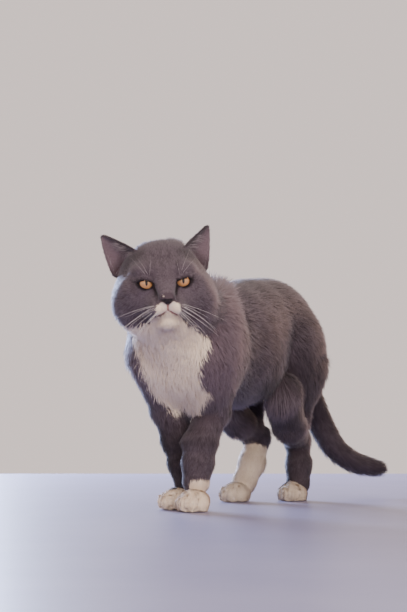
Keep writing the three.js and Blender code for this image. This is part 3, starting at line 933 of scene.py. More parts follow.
EYE_HALF = (7.9, 5.0)  # half width and half height of the gap between the lids
EYE_TILT = 11.0  # degrees that the outer corner stands over the inner one
UPPER_LID, LOWER_LID = (0.66, 2.9), (1.0, 2.0)  # share of the half height, and how flat the lid runs
NOSE_PAD = Egg((0, -19.2, 23.4), (6.8, 4.1, 3.2))
NOSTRIL = Egg((3.6, -19.6, 26.4), (1.5, 1.1, 2.4))
NOSE_WING = Bar((4.6, -20.2, 24.8), 0.7, (8.0, -18.6, 19.5), 0.55)
CLEFT_TURNS = ((0.0, -26.0), (8.8, -22.5), (-8.8, -22.5))  # between the toes: sideways, and forwards as -y
CLEFTS = tuple(
    bar
    for x, front in CLEFT_TURNS
    for bar in (
        Bar((x, front, 1.0), 1.9, (x, front + 2.5, 14.0), 1.9),
        Bar((x, front + 2.5, 14.0), 1.9, (0.85 * x, -9.0, 23.5), 0.7),
    )
)
LID_FOLD = 2.4  # how far over the upper lid's edge its fold lies
BRIDGE = Bar((5.0, 4.0, -2.0), 7.5, (3.2, -13.0, 15.5), 5.6)  # one side of the broad bridge of the nose


@dataclass(frozen=True)
class Stroke:
    """A fine groove of the face, drawn from the front on both sides alike."""

    path: tuple[tuple[float, float], ...]  # x and y in the head's frame
    half: float  # half its width
    deep: float

    def away(self, local: Points) -> Levels:
        """How far points of the head's frame lie beside the stroke's middle.

        Args:
            local: Places in the head's frame.

        Returns:
            The distance of each point, in millimetres.
        """
        spots = np.stack([np.abs(local[:, 0]), local[:, 1]], axis=1)
        result = np.full(len(local), FAR)
        for start, end in zip(np.array(self.path[:-1]), np.array(self.path[1:])):
            run = end - start
            share = np.clip((spots - start) @ run / (run @ run), 0, 1)[:, None]
            result = np.minimum(result, np.linalg.norm(spots - start - share * run, axis=1))
        return np.where(local[:, 2] > 4, result, FAR)

    def press(self, local: Points) -> Levels:
        """How far the stroke presses the face in at each point."""
        return self.deep * fade(self.away(local), self.half + 0.9, 0.2 * self.half)


PHILTRUM = Stroke(((0, -24.0), (0, -31.3)), 0.6, 1.2)
MOUTH = Stroke(((0, -31.3), (2.6, -32.1), (6.2, -34.8), (10.6, -37.0)), 0.7, 1.9)
PAD_SWELL, PAD_AT, PAD_HALF = 1.1, (6.4, -27.8), (5.0, 4.2)  # the plump front of each whisker pad


def eye_outline(side: str, count: int) -> Points:
    """The edge of the gap between the lids, seen from the front.

    Args:
        side: Which eye.
        count: How many points.

    Returns:
        Points in the head's frame, at the depth of the eyeball's middle.
    """
    angle = np.linspace(0, 2 * math.pi, count, endpoint=False)
    across, up = np.cos(angle), np.sin(angle)
    share, flat = (np.where(up > 0, *pair) for pair in zip(UPPER_LID, LOWER_LID))
    x = EYE_HALF[0] * across
    y = EYE_HALF[1] * share * np.sign(up) * np.abs(up) ** (2 / flat)
    tilt = math.radians(EYE_TILT)
    x, y = x * math.cos(tilt) - y * math.sin(tilt), x * math.sin(tilt) + y * math.cos(tilt)
    outline = np.stack([SIDES[side] * x, y, np.zeros(count)], axis=1)
    return outline + eye_centre(side)


def eye_gap_level(local: Points, side: str) -> Levels:
    """How far points of the head's frame lie outside the gap between the lids, seen from the front.

    Args:
        local: The points.
        side: Which eye.

    Returns:
        The gap's level.
    """
    x, y = ((local - eye_centre(side)) * [SIDES[side], 1, 1])[:, :2].T
    tilt = math.radians(EYE_TILT)
    across = (x * math.cos(tilt) + y * math.sin(tilt)) / EYE_HALF[0]
    up = -x * math.sin(tilt) + y * math.cos(tilt)
    share, flat = (np.where(up > 0, *pair) for pair in zip(UPPER_LID, LOWER_LID))
    reach = np.sqrt(across**2 + np.abs(up / (EYE_HALF[1] * share)) ** flat)
    sideways = across**2 / np.maximum(reach, 1e-6) ** 2
    return (reach - 1) * (EYE_HALF[1] * share * (1 - sideways) + EYE_HALF[0] * sideways)


def gap_level(local: Points) -> Levels:
    """How far points of the head's frame lie outside the nearer gap between the lids."""
    return np.minimum.reduce([eye_gap_level(local, side) for side in SIDES])


def face_level(points: Points) -> Levels:
    """How far points of the body's frame lie outside the cat, with the fine forms of his face.

    Args:
        points: Places in the body's frame.

    Returns:
        The levels, in millimetres.
    """
    local = to_head(points)
    level = blend(5, body_level(points), *all_levels(local, *both(BRIDGE)))
    level = blend(1.6, level, NOSE_PAD.level(local))
    level = carve(1.0, level, *all_levels(local, *both(NOSTRIL, NOSE_WING)))
    across = (np.abs(local[:, 0]) - PAD_AT[0]) / PAD_HALF[0]
    up = (local[:, 1] - PAD_AT[1]) / PAD_HALF[1]
    level = level - PAD_SWELL * np.exp(-(across**2 + up**2)) * (local[:, 2] > 4)
    level = level + PHILTRUM.press(local) + MOUTH.press(local)
    fold = np.abs(gap_level(local) - LID_FOLD) - 0.3 + 4 * fade(local[:, 1], 2.5, 0.5)
    return carve(0.8, level, np.maximum(fold, EYE_DEPTH - local[:, 2]))


def near_paws(points: Points) -> np.ndarray:
    """Picks the points near the front of any paw.

    Args:
        points: Places in the body's frame.

    Returns:
        True for the points that are near.
    """
    found = np.zeros(len(points), bool)
    for leg in LEGS.values():
        _, forward, up = paw_points(leg, points).T
        found |= (beside_paw(leg, points) < 34) & (forward < 2) & (up < 30)
    return found


def paw_front_level(points: Points) -> Levels:
    """How far points lie outside the cat, with the clefts between his toes.

    Args:
        points: Places in the body's frame.

    Returns:
        The levels, in millimetres.
    """
    level = body_level(points)
    for leg in LEGS.values():
        here = beside_paw(leg, points) < 36
        if here.any():
            local = paw_points(leg, points[here])
            level[here] = carve(1.5, level[here], *all_levels(local, *CLEFTS))
    return level


def settle(points: Points, level: Form, depth: Levels, turns: int) -> Points:
    """Points moved along a form's slope to a given depth under it.

    Args:
        points: Where they start.
        level: The form.
        depth: How deep each point ends.
        turns: How many steps are taken.

    Returns:
        The moved points.
    """
    reach, longest = 0.35, 4.0
    corners = np.array([(1, 1, 1), (1, -1, -1), (-1, 1, -1), (-1, -1, 1)], float)
    for _ in range(turns):
        values = np.array([level(points + reach * corner) for corner in corners])
        slope = np.einsum("cp,ci->pi", values, corners) / (4 * reach)
        steepness = np.maximum((slope**2).sum(axis=1), 0.1)
        move = -slope * ((values.mean(axis=0) + depth) / steepness)[:, None]
        length = np.maximum(np.linalg.norm(move, axis=1), 1e-9)
        points = points + move * np.minimum(1.0, longest / length)[:, None]
    return points


def sampled(level: Form, low: np.ndarray, shape: np.ndarray, cell: float) -> np.ndarray:
    """A form's level on a grid, worked out point by point only near its surface.

    Args:
        level: The form.
        low: The grid's lowest corner.
        shape: How many points it has each way.
        cell: The distance between them.

    Returns:
        The levels, in three dimensions.
    """
    size = 8  # points along a side of the first blocks
    counts = [-(-int(count) // size) for count in shape]
    samples = np.empty([size * count for count in counts])
    blocks = size * np.argwhere(np.ones(counts, bool))
    while size:
        values = level((blocks + (size - 1) / 2) * cell + low)
        inner = np.argwhere(np.ones((size,) * 3, bool))
        spots = blocks[:, None] + inner
        samples[tuple(spots.reshape(-1, 3).T)] = np.repeat(values, len(inner))
        close = np.abs(values) < 1.1 * size * cell
        size //= 2
        corners = size * np.argwhere(np.ones((2, 2, 2), bool))
        blocks = (blocks[close][:, None] + corners).reshape(-1, 3)
    return samples[tuple(slice(int(count)) for count in shape)]


def shell(level: Form, low: np.ndarray, high: np.ndarray, cell: float) -> tuple[Points, np.ndarray]:
    """The closed surface of a form, as one point in every grid cell that it crosses.

    Args:
        level: The form.
        low: The lowest corner of its space.
        high: The highest one.
        cell: The size of a cell.

    Returns:
        The points, and each face's four, counted round it from outside.
    """
    shape = np.ceil((high - low) / cell).astype(int) + 1
    samples = sampled(level, low, shape, cell)
    inside = samples < 0
    corners = [np.array([(n >> axis) & 1 for axis in range(3)]) for n in range(8)]

    def shifted(array: np.ndarray, corner: np.ndarray) -> np.ndarray:
        """The array's values at one corner of every cell."""
        return array[tuple(slice(int(c), int(n) - 1 + int(c)) for c, n in zip(corner, shape))]

    filled = sum(shifted(inside, corner).astype(np.int8) for corner in corners)
    cells = np.argwhere((filled > 0) & (filled < 8))
    number = np.full(shape, -1)
    number[tuple(cells.T)] = np.arange(len(cells))
    total, count = np.zeros((len(cells), 3)), np.zeros((len(cells), 1))
    for a in range(8):
        for bit in (1, 2, 4):
            if a & bit:
                continue
            ends = [cells + corners[n] for n in (a, a | bit)]
            first, last = (samples[tuple(end.T)] for end in ends)
            crossed = (first < 0) != (last < 0)
            share = np.where(crossed, first / np.where(crossed, first - last, 1), 0)[:, None]
            spot = ends[0] + share * (ends[1] - ends[0])
            total += np.where(crossed[:, None], spot, 0)
            count += crossed[:, None]
    points = total / count * cell + low

    faces = []
    for axis in range(3):
        ahead, one, two = (np.eye(3, dtype=int)[(axis + turn) % 3] for turn in range(3))
        here = shifted(inside, 0 * ahead)
        edges = np.argwhere(here != shifted(inside, ahead))
        ring = (edges - one - two, edges - two, edges, edges - one)
        quads = np.stack([number[tuple(corner.T)] for corner in ring], axis=1)
        backwards = ~here[tuple(edges.T)]
        quads[backwards] = quads[backwards][:, ::-1]
        faces.append(quads)
    return points, np.concatenate(faces)


@dataclass
class Skin:
    """The skin under the coat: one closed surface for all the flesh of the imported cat."""

    coat: CoatMap
    cell: float = 2.5  # size of the first faces
    first_depth: float = 2.4  # keeps the legs and the toes apart in the first form
    socket_room: float = 0.15  # between eyeball and socket
    gap_points: int = 44  # round the gap between the lids
    gap_reach: float = 30.0  # how far forwards its tool cuts
    ear_thickness: float = 1.8
    ear_cells: tuple[int, int] = (22, 30)  # across an ear, and up it
    ear_foot: float = 0.3  # share of its height that is buried in the head
    ear_top: float = 0.975  # share of its height where its blunt tip ends

    def build(self) -> Object:
        """Makes the skin, its sockets, lids, nose, mouth and ears.

        Returns:
            The skin.
        """
        skin = self.first_form()
        self.refine(skin, self.on_face)
        self.refine(skin, self.near_features)
        self.refine(skin, near_paws)
        self.settle_all(skin, face_level, 3, lambda points: to_head(points)[:, 2] > -30)
        self.settle_all(skin, paw_front_level, 3, near_paws)
        for side in SIDES:
            self.cut(skin, self.socket(side))
            self.cut(skin, self.lid_gap(side))
            self.cut(skin, self.ear(side), "UNION")
        skin.data.shade_smooth()
        LOG.info("skin: %d faces", len(skin.data.polygons))
        return skin

    def mark(self, skin: Object) -> None:
        """Keeps where the skin is white, nose leather or pink, and where it is dark with lid rims or with
        painted shade at the ears, for its finish.

        Args:
            skin: The skin.
        """
        points, normals = places(skin.data), vertex_normals(skin.data)
        local = to_head(points)
        ears = read_ears(points, normals, self.depth_at(points))
        store(skin.data, "white", white_share(points))
        store(skin.data, "leather", leather_share(local))
        store(skin.data, "pink", np.maximum(pink_share(local), 0.15 * ears.share * ears.inner))
        # dark: lid rims and eye lines, with painted shade at the ears
        store(skin.data, "dark", np.maximum(rim_share(local), ear_rim_hair_and_painted_shade(local, ears)))

    def depth_at(self, points: Points) -> Levels:
        """The coat's depth, which is small on the soles.

        Args:
            points: Places in the body's frame.

        Returns:
            The depth at each point, in millimetres.
        """
        depth, _, _ = self.coat.read(points)
        sole = fade(points[:, 2], 6.0, 2.0)
        return depth * (1 - sole) + SOLE_DEPTH * sole

    def first_form(self) -> Object:
        """The skin as an even mesh, from the forms of the body and the coat's depth.

        Returns:
            The skin, still without sockets and ears.
        """
        low, high = (to_millimetres(corner) for corner in CAD_BOX)
        room = 3 * self.cell
        points, faces = shell(self.above_floor, low - room, high + room, self.cell)
        depth = self.depth_at(settle(points, body_level, np.zeros(len(points)), 1))
        points = settle(points, body_level, depth, 4)
        points[:, 2] = np.maximum(points[:, 2], SOLE_DEPTH)
        mesh = bpy.data.meshes.new("skin")
        mesh.from_pydata(to_metres(points).tolist(), [], faces.tolist())
        return piece_of("skin", mesh)

    def above_floor(self, points: Points) -> Levels:
        """How far points lie outside a thin first coat, cut level a little over the floor."""
        return np.maximum(body_level(points) + self.first_depth, SOLE_DEPTH - points[:, 2])

    def settle_all(self, skin: Object, level: Form, turns: int, only: Picker) -> None:
        """Brings the skin to the coat's depth under a form.

        Args:
            skin: The skin.
            level: The form.
            turns: How many steps are taken.
            only: Picks the points that move.
        """
        points = places(skin.data)
        chosen = only(points)
        part = points[chosen]
        part = settle(part, level, self.depth_at(part), turns)
        part[:, 2] = np.maximum(part[:, 2], SOLE_DEPTH)
        points[chosen] = part
        move_to(skin.data, points)

    def refine(self, skin: Object, chosen: Picker) -> None:
        """Halves the faces whose points are chosen.

        Args:
            skin: The skin.
            chosen: Picks the points.
        """
        with editing(skin):
            bpy.ops.mesh.select_mode(type="VERT")
            bpy.ops.mesh.select_all(action="DESELECT")
        skin.data.vertices.foreach_set("select", chosen(places(skin.data)))
        bpy.ops.object.mode_set(mode="EDIT")
        bpy.ops.mesh.select_mode(type="FACE")
        bpy.ops.mesh.subdivide(number_cuts=1)
        bpy.ops.object.mode_set(mode="OBJECT")

    @staticmethod
    def on_face(points: Points) -> np.ndarray:
        """Picks the points of the face."""
        across, up, out = to_head(points).T
        return (out > -14) & (np.abs(across) < 36) & (np.abs(up) < 52)

    @staticmethod
    def near_features(points: Points) -> np.ndarray:
        """Picks the points near the eyes, the nose and the mouth.

        Args:
            points: Places in the body's frame.

        Returns:
            True for the points that are near.
        """
        local = to_head(points)
        eyes = [np.linalg.norm(local - eye_centre(side), axis=1) < 17 for side in SIDES]
        snout = (np.abs(local[:, 0]) < 15) & (local[:, 1] < -8) & (local[:, 1] > -44)
        return np.logical_or.reduce([*eyes, snout]) & (local[:, 2] > -8)

    @staticmethod
    def cut(skin: Object, tool: Object, operation: str = "DIFFERENCE") -> None:
        """Cuts a tool out of the skin or joins it on, and deletes the tool."""
        apply_modifier(skin, "BOOLEAN", object=tool, operation=operation, solver="MANIFOLD")
        bpy.data.objects.remove(tool)

    def socket(self, side: str) -> Object:
        """A ball a little wider than the eyeball.

        Args:
            side: Which eye it is for.

        Returns:
            The ball.
        """
        deselect_all()
        centre = to_metres(from_head([eye_centre(side)]))[0]
        radius = (EYE_RADIUS + self.socket_room) * MM
        bpy.ops.mesh.primitive_uv_sphere_add(segments=48, ring_count=24, radius=radius, location=centre)
        bpy.ops.object.transform_apply(location=True, rotation=True, scale=True)
        return bpy.context.object

    def lid_gap(self, side: str) -> Object:
        """A prism with the outline of the gap between the lids, from the eyeball's middle forwards.

        Args:
            side: Which eye it is for.

        Returns:
            The prism.
        """
        outline = eye_outline(side, self.gap_points)
        deselect_all()
        bpy.ops.mesh.primitive_circle_add(vertices=len(outline), fill_type="NGON")
        tool = bpy.context.object
        move_to(tool.data, from_head(outline))
        forward = Vector(HEAD_AXES[:, 2]) * self.gap_reach * MM
        with editing(tool):
            bpy.ops.mesh.extrude_region_move(TRANSFORM_OT_translate={"value": forward})
            bpy.ops.mesh.select_all(action="SELECT")
            bpy.ops.mesh.normals_make_consistent(inside=False)
        return tool

    def ear(self, side: str) -> Object:
        """The skin of one ear: a cupped sheet with a thickness, whose foot is buried in the head.

        Args:
            side: Which ear it is.

        Returns:
            The sheet.
        """
        deselect_all()
        columns, rows = self.ear_cells
        bpy.ops.mesh.primitive_grid_add(x_subdivisions=columns, y_subdivisions=rows, size=2)
        ear = bpy.context.object
        across, up, _ = drawn(ear.data).T
        share = -self.ear_foot + (up + 1) / 2 * (self.ear_foot + self.ear_top)
        move_to(ear.data, from_head(ear_place(side, across, share)))
        apply_modifier(ear, "SOLIDIFY", thickness=self.ear_thickness * MM, offset=0.0)
        with editing(ear):
            bpy.ops.mesh.normals_make_consistent(inside=False)
        return ear


def ear_axes(side: str) -> tuple[np.ndarray, ...]:
    """The frame of an ear, mirrored to the left where it is the right one.

    Args:
        side: Which ear.

    Returns:
        Foot, way up, half width and front, in the head's frame.
    """
    foot = (EAR_OUTER + EAR_INNER) / 2
    rise = EAR_TIP[side] - foot
    half = (EAR_INNER - EAR_OUTER) / 2
    front = np.cross(rise, half)
    front *= np.sign(front[2]) / np.linalg.norm(front)
    return foot, rise, half, front


def ear_place(side: str, across: Levels, share: Levels) -> Points:
    """Points of an ear's sheet, in the head's frame.

    Args:
        side: Which ear.
        across: From -1 at the outer rim to 1 at the inner one.
        share: How far up from the foot, 1 at the tip and below 0 inside the head.

    Returns:
        The points.
    """
    foot, rise, half, front = ear_axes(side)
    above = np.clip(share, 0, 1)
    narrow = np.where(share <= 0, 1 + 0.9 * share, (1 - above**1.6) ** 0.78 * (1 - 0.3 * above))
    height = share - 0.1 * across**2 * (1 - share)
    curl = EAR_CUP * (across**2 - 0.5) * narrow
    points = foot + height[:, None] * rise + (across * narrow)[:, None] * half + curl[:, None] * front
    points[:, 0] *= SIDES[side]
    return points


# ------------ bare places, marks, painted light and painted shade


NOSE_TOP, NOSE_FOOT = -17.2, -24.2  # heights of the nose leather's edges
NOSE_HALF = (5.0, 7.6, 4.6, 1.0)  # its half width from the top edge down
NOSE_START = 16.5  # how far out of the face it starts
CORNER_LINE = Bar((13.6, -3.0, 2), 2.3, (10.4, -13.0, 9.5), 1.7)  # dark line from the eye's inner corner
OUTER_LINE = Bar((28.5, 2.2, -3), 0.9, (33.5, 3.6, -8), 0.5)  # and from its outer one
CLEFT_SHADE = 0.34  # painted shade: how much darker the hair between two toes is made
STRIPE = 8.6  # from one faint stripe of the forehead to the next
RIB_BAND = 42.0  # and from one faint band of the flank to the next
EAR_FRONT = Bar((50, 12, -44), 10, (26, 28, -22), 8)  # painted shade in front of each ear


def leather_share(local: Points) -> Levels:
    """How much points of the head's frame belong to the nose leather, from 0 to 1.

    Args:
        local: Places in the head's frame.

    Returns:
        The shares, from 0 to 1.
    """
    down = (NOSE_TOP - local[:, 1]) / (NOSE_TOP - NOSE_FOOT)
    half = np.interp(down, (0.0, 0.35, 0.6, 1.0), NOSE_HALF)
    ends = np.maximum(local[:, 1] - NOSE_TOP, NOSE_FOOT - local[:, 1])
    edge = np.maximum(np.abs(local[:, 0]) - half, ends)
    wings = np.minimum(*all_levels(local, *both(NOSE_WING))) - 0.5
    return fade(np.minimum(np.maximum(edge, NOSE_START - local[:, 2]), wings), 0.45, -0.45)


def pink_share(local: Points) -> Levels:
    """How much points belong to the bare line from the nose to the lips."""
    philtrum, mouth = (fade(line.away(local), line.half + 0.75, line.half) for line in (PHILTRUM, MOUTH))
    return np.maximum(philtrum, mouth)


def rim_share(local: Points) -> Levels:
    """How much points belong to the dark rims of the lids and the lines at their corners.

    Args:
        local: Places in the head's frame.

    Returns:
        The shares, from 0 to 1.
    """
    rims = fade(gap_level(local), 2.6, 1.2) * (local[:, 2] > EYE_DEPTH)
    away = np.minimum.reduce(all_levels(local, *both(CORNER_LINE, OUTER_LINE)))
    return np.maximum(rims, 0.95 * fade(away, 1.2, -0.6))


def ear_rim_hair_and_painted_shade(local: Points, ears: "EarPlace") -> Levels:
    """How dark the coat is made at each ear: painted shade in front of it and inside it towards its foot, and
    darker hair towards its inner rim.

    Args:
        local: Points of the head's frame.
        ears: How they lie on the ears.

    Returns:
        How dark each is, up to 0.5.
    """
    front = np.minimum(*all_levels(local, *both(EAR_FRONT)))
    rim = fade(ears.across, -0.3, 0.6)
    foot = fade(ears.up - 0.15 * ears.across, 0.36, 0.08)
    return np.maximum(0.5 * fade(front, 8, -6), 0.5 * ears.share * ears.inner * np.maximum(rim, foot))


@dataclass(frozen=True)
class Wash:
    """A soft patch of the coat that is darker, paler or warmer than the rest: painted light, painted shade, a
    darker tone or faint bands.
    """

    amount: float
    edges: tuple[tuple[str, float, float], ...]  # an axis, and where along it the patch starts and is full

    def level(self, points: Points) -> Levels:
        """How much of the wash each point has.

        Args:
            points: Places in the frame of the wash.

        Returns:
            The shares, from 0 to 1.
        """
        share = np.ones(len(points))
        for axis, start, full in self.edges:
            share = share * fade(points[:, "xyz".index(axis)], start, full)
        return self.amount * share


SHARP = 1e-6  # width of an edge that isn't soft
# Darker patches: painted shade over the right foreleg, the shank, the back, the thighs and behind the
# shoulders, and a darker tone of the legs and the tail
DARKER_AND_PAINTED_SHADE = (
    Wash(0.14, (("z", 125, 85),)),  # legs
    Wash(0.6, (("z", 125, 85), ("x", 0, -SHARP), ("y", -40, -40 - SHARP))),  # right foreleg, painted shade behind the body
    Wash(0.42, (("z", 104, 84), ("x", 0, SHARP), ("y", 100, 100 + SHARP))),  # left shank, painted shade
    Wash(0.42, (("y", 200, 240),)),  # tail
    Wash(0.2, (("y", -50, -10), ("y", 190, 120), ("z", 140, 180))),  # back, painted shade
    Wash(0.2, (("y", 35, 65), ("z", 185, 165))),  # thighs, painted shade over their lit hair
    Wash(0.32, (("y", -108, -88), ("y", 20, -25), ("z", 135, 160), ("z", 245, 215))),  # behind the shoulders, painted shade on the flank
)
# Painted light and painted shade: a paler neck, shoulders and belly, a darker back and thighs
PAINTED_LIGHT_AND_SHADE = (
    Wash(0.34, (("y", -30, -90), ("z", 140, 170))),  # neck and shoulders, painted light
    Wash(0.36, (("z", 172, 140), ("y", 90, 50), ("y", -90, -50))),  # belly, painted light as if bounced from the floor
    Wash(-0.2, (("y", -40, 10), ("z", 150, 190))),  # back, painted shade
    Wash(-0.5, (("y", 50, 80), ("z", 200, 175), ("z", 90, 120))),  # thighs, painted shade
)
BANDED = Wash(0.07, (("y", -60, -20), ("z", 150, 175)))  # flanks
PAINTED_SHOULDER_LIGHT = Wash(0.11, (("y", -80, -108), ("z", 130, 165)))  # painted light: paler, warmer tips in a rim along the front of the shoulders
PAINTED_SHADE_HIND_WHITE = Wash(0.24, (("y", 0, 40),))  # painted shade on the hind feet's white, which lies out of the light


def painted_light_and_bands(points: Points) -> Levels:
    """How much painted light makes the blue coat paler than its mean, and painted shade darker, with faint
    bands on the flanks.

    Args:
        points: Places in the body's frame.

    Returns:
        The change, below 0 where it is darker.
    """
    _, y, z = points.T
    bands = BANDED.level(points) * np.cos(2 * math.pi * (y + 0.25 * z) / RIB_BAND)
    return sum(wash.level(points) for wash in PAINTED_LIGHT_AND_SHADE) + bands


def cleft_share(points: Points) -> Levels:
    """How much the hair of a paw lies in the shade between two toes.

    Args:
        points: Places in the body's frame.

    Returns:
        The shares, from 0 to 1.
    """
    paws = [paw_points(leg, points) for leg in LEGS.values()]
    away = np.minimum.reduce([level for local in paws for level in all_levels(local, *CLEFTS)])
    return CLEFT_SHADE * fade(away, 1.0, -1.0)


def stripes(local: Points) -> Levels:
    """The ghost of stripes on the forehead, darker lines beside the nose and over the eyes' inner corners, a
    paler spot over the nose, and painted highlights along the sides of its bridge.

    Args:
        local: Places in the head's frame.

    Returns:
        Above 0 where the blue is darker and below where it is paler.
    """
    x, y, z = local.T
    away = np.abs(x)
    brow = fade(y, 6, 14) * fade(y, 42, 30) * fade(away, 24, 15) * (z > -40)
    wave = np.cos(2 * math.pi * (x + 1.5 + 0.05 * (y - 10)) / STRIPE)
    beside = fade(np.abs(away - 11 - 0.2 * (y + 12)), 3.6, 1.0) * fade(y, -22, -14) * fade(y, 4, -4)
    # painted highlight along each side of the nose's bridge
    bridge = fade(np.abs(away - 6.2 - 0.16 * (y + 14)), 2.4, 0.6) * fade(y, -17, -11) * fade(y, 10, 2)
    tan = fade(np.hypot(x / 1.5, y + 10), 6.5, 2.5) * (z > 5)
    corner = fade(np.abs(away - 14.2 - 0.06 * y), 3.0, 0.8) * fade(y, 2, 7) * fade(y, 26, 17) * (z > -30)
    return 0.9 * brow * wave + 1.1 * corner + 0.9 * beside * (z > -6) - 0.8 * bridge * (z > -4) - 0.45 * tan


def bare_share(points: Points) -> Levels:
    """How bare the skin is, from 0 under full coat to 1 where no hair grows.

    Args:
        points: Places in the body's frame.

    Returns:
        The shares, from 0 to 1.
    """
    local = to_head(points)
    balls = np.minimum.reduce([np.linalg.norm(local - eye_centre(side), axis=1) for side in SIDES])
    inside_socket = (balls < EYE_RADIUS + 0.35) & (local[:, 2] < 2)
    lids = fade(gap_level(local), 1.5, 0.7) * (balls < EYE_RADIUS + 6)
    soles = fade(points[:, 2], 2.4, 1.2)
    bare = np.maximum.reduce([leather_share(local), pink_share(local), lids, soles])
    return np.where(inside_socket, 1.0, bare)


def close_crop(points: Points) -> Levels:
    """How much shorter the hair stays round the lips and the nose, as a share of its length.

    Args:
        points: Places in the body's frame.

    Returns:
        The shares, from 0 to 1.
    """
    local = to_head(points)
    away = np.minimum.reduce([PHILTRUM.away(local), MOUTH.away(local), NOSE_PAD.level(local) + 0.6])
    return 0.5 + 0.5 * fade(away, 1.0, 4.0)


@dataclass(frozen=True)
class EarPlace:
    """Which points lie on an ear, and how."""

    share: Levels  # from 0 on the head to 1 on the ear
    inner: np.ndarray  # whether they face into the ear
    rise: Points  # the way to the ear's tip
    across: Levels  # from -1 at the outer rim to 1 at the inner one
    up: Levels  # share of the way up


def read_ears(points: Points, normals: Points, depth: Levels) -> EarPlace:
    """Finds the points on the ears.

    Args:
        points: Places on the skin, in the body's frame.
        normals: The skin's normals there.
        depth: The coat's depth there.

    Returns:
        How the points lie on the ears.
    """
    local = to_head(points)
    facing = normals @ HEAD_AXES
    share = fade(body_level(points) + depth, 0.2, 1.2) * (local[:, 1] > -4) * (local[:, 2] < -25)
    inner = np.zeros(len(points), bool)
    rise = np.zeros((len(points), 3))
    across, up = np.zeros(len(points)), np.zeros(len(points))
    for side, sign in SIDES.items():
        here = local[:, 0] * sign > 0
        foot, way, half, front = ear_axes(side)
        mirror = np.array([sign, 1, 1])
        steps = (local[here] * mirror) - foot
        up[here] = steps @ way / (way @ way)
        across[here] = steps @ half / (half @ half)
        inner[here] = (facing[here] * mirror) @ front > 0
        rise[here] = HEAD_AXES @ (way * mirror / np.linalg.norm(way))
    return EarPlace(share, inner, rise, across, up)


# ------------ coat


def place_on_map(part: Part, points: Points, normals: Points) -> Points:
    """Where places of the skin lie on the unwrap of their part.

    Args:
        part: The part of the coat.
        points: Places on the skin, in the body's frame.
        normals: The skin's normals there.

    Returns:
        Two numbers from 0 to 1 for each place.
    """
    whole = 2 * math.pi
    if part is Part.EARS:
        local = to_head(points)
        behind = (normals @ HEAD_AXES)[:, 2] < 0
        u = np.where(behind, 0.75, 0.25) + local[:, 0] / 75 * 0.24
        v = (local[:, 1] - 10) / 58
    elif part in (Part.FACE, Part.HEAD):
        local = to_head(points) + [0, 0, 48]
        u = np.arctan2(local[:, 0], local[:, 2]) / whole + 0.5
        v = np.arctan2(local[:, 1], np.hypot(local[:, 0], local[:, 2])) / math.pi + 0.5
    elif part in (Part.FORELEGS, Part.HINDLEGS):
        end = "fore" if part is Part.FORELEGS else "hind"
        left = points[:, 0] > 0
        angle = np.zeros(len(points))
        for side, here in (("left", left), ("right", ~left)):
            spots = np.array([place for place, _ in LEGS[f"{end}_{side}"].joints], float)[::-1]
            middle = [np.interp(points[here, 2], spots[:, 2], spots[:, axis]) for axis in (0, 1)]
            angle[here] = np.arctan2(points[here, 0] - middle[0], points[here, 1] - middle[1])
        u = 0.5 * (angle / whole + 0.5) + 0.5 * left
        v = points[:, 2] / 230
    elif part is Part.TAIL:
        path = curve_through(TAIL_PATH, 60)
        nearest = np.argmin(((points[:, None] - path[None]) ** 2).sum(axis=2), axis=1)
        off = points - path[nearest]
        along = unit(np.gradient(path, axis=0))[nearest]
        beside = unit(np.cross(along, [1.0, 0.0, 0.0]))
        over = np.cross(along, beside)
        u = np.arctan2((off * over).sum(axis=1), (off * beside).sum(axis=1)) / whole + 0.5
        v = nearest / 60
    else:
        u = np.arctan2(points[:, 0], points[:, 2] - 200) / whole + 0.5
        v = (points[:, 1] + 235) / 470
    return np.clip(np.stack([u, v], axis=1), 0, 1) * 0.98 + 0.01


@dataclass
class Roots:
    """Where tufts grow: one row or number for each of them."""

    at: Points
    normal: Points
    lie: Points
    depth: Levels
    part: np.ndarray
    white: np.ndarray
    size: Levels  # length of the tuft in full coat, 1 elsewhere

    def some(self, chosen: np.ndarray) -> "Roots":
        """A choice of the roots."""
        return Roots(*(getattr(self, name)[chosen] for name in self.__dataclass_fields__))


@dataclass(frozen=True)
class Fall:
    """A place where the hair is longer and hangs."""

    place: Triple
    half: Triple
    longer: float  # how much longer it is
    drop: float  # how far its tips hang below where they would lie
    plumb: float = 0.0  # how much its own lie turns down

    def share(self, points: Points) -> Levels:
        """How much each point belongs to the place, from 0 to 1."""
        off = (points - np.asarray(self.place)) / np.asarray(self.half)
        return np.exp(-(off**2).sum(axis=1))


def along_skin(vectors: Points, normal: Points) -> Points:
    """The part of vectors that runs along the skin."""
    return vectors - (vectors * normal).sum(axis=1, keepdims=True) * normal


def blade_mesh(name: str, points: Points, facing: Points) -> tuple[Mesh, np.ndarray]:
    """Tufts as one mesh, of two triangles each.

    Args:
        name: The mesh's name.
        points: Root, left, right and tip of each tuft, in the body's frame.
        facing: The ways that they are lit as facing.

    Returns:
        The mesh, and the three corners of each of its triangles.
    """
    mesh = bpy.data.meshes.new(name)
    mesh.vertices.add(4 * len(points))
    mesh.vertices.foreach_set("co", to_metres(points.reshape(-1, 3)).astype(np.float32).ravel())
    pattern = np.array([(0, 1, 2), (1, 3, 2)])
    faces = (pattern[None] + 4 * np.arange(len(points))[:, None, None]).reshape(-1, 3)
    mesh.loops.add(faces.size)
    mesh.polygons.add(len(faces))
    mesh.loops.foreach_set("vertex_index", faces.astype(np.int32).ravel())
    mesh.polygons.foreach_set("loop_start", np.arange(0, faces.size, 3, dtype=np.int32))
    mesh.polygons.foreach_set("loop_total", np.full(len(faces), 3, np.int32))
    mesh.polygons.foreach_set("use_smooth", np.ones(len(faces), bool))
    mesh.update(calc_edges=True)
    mesh.normals_split_custom_set_from_vertices(unit(facing.reshape(-1, 3)).astype(np.float32))
    return mesh, faces


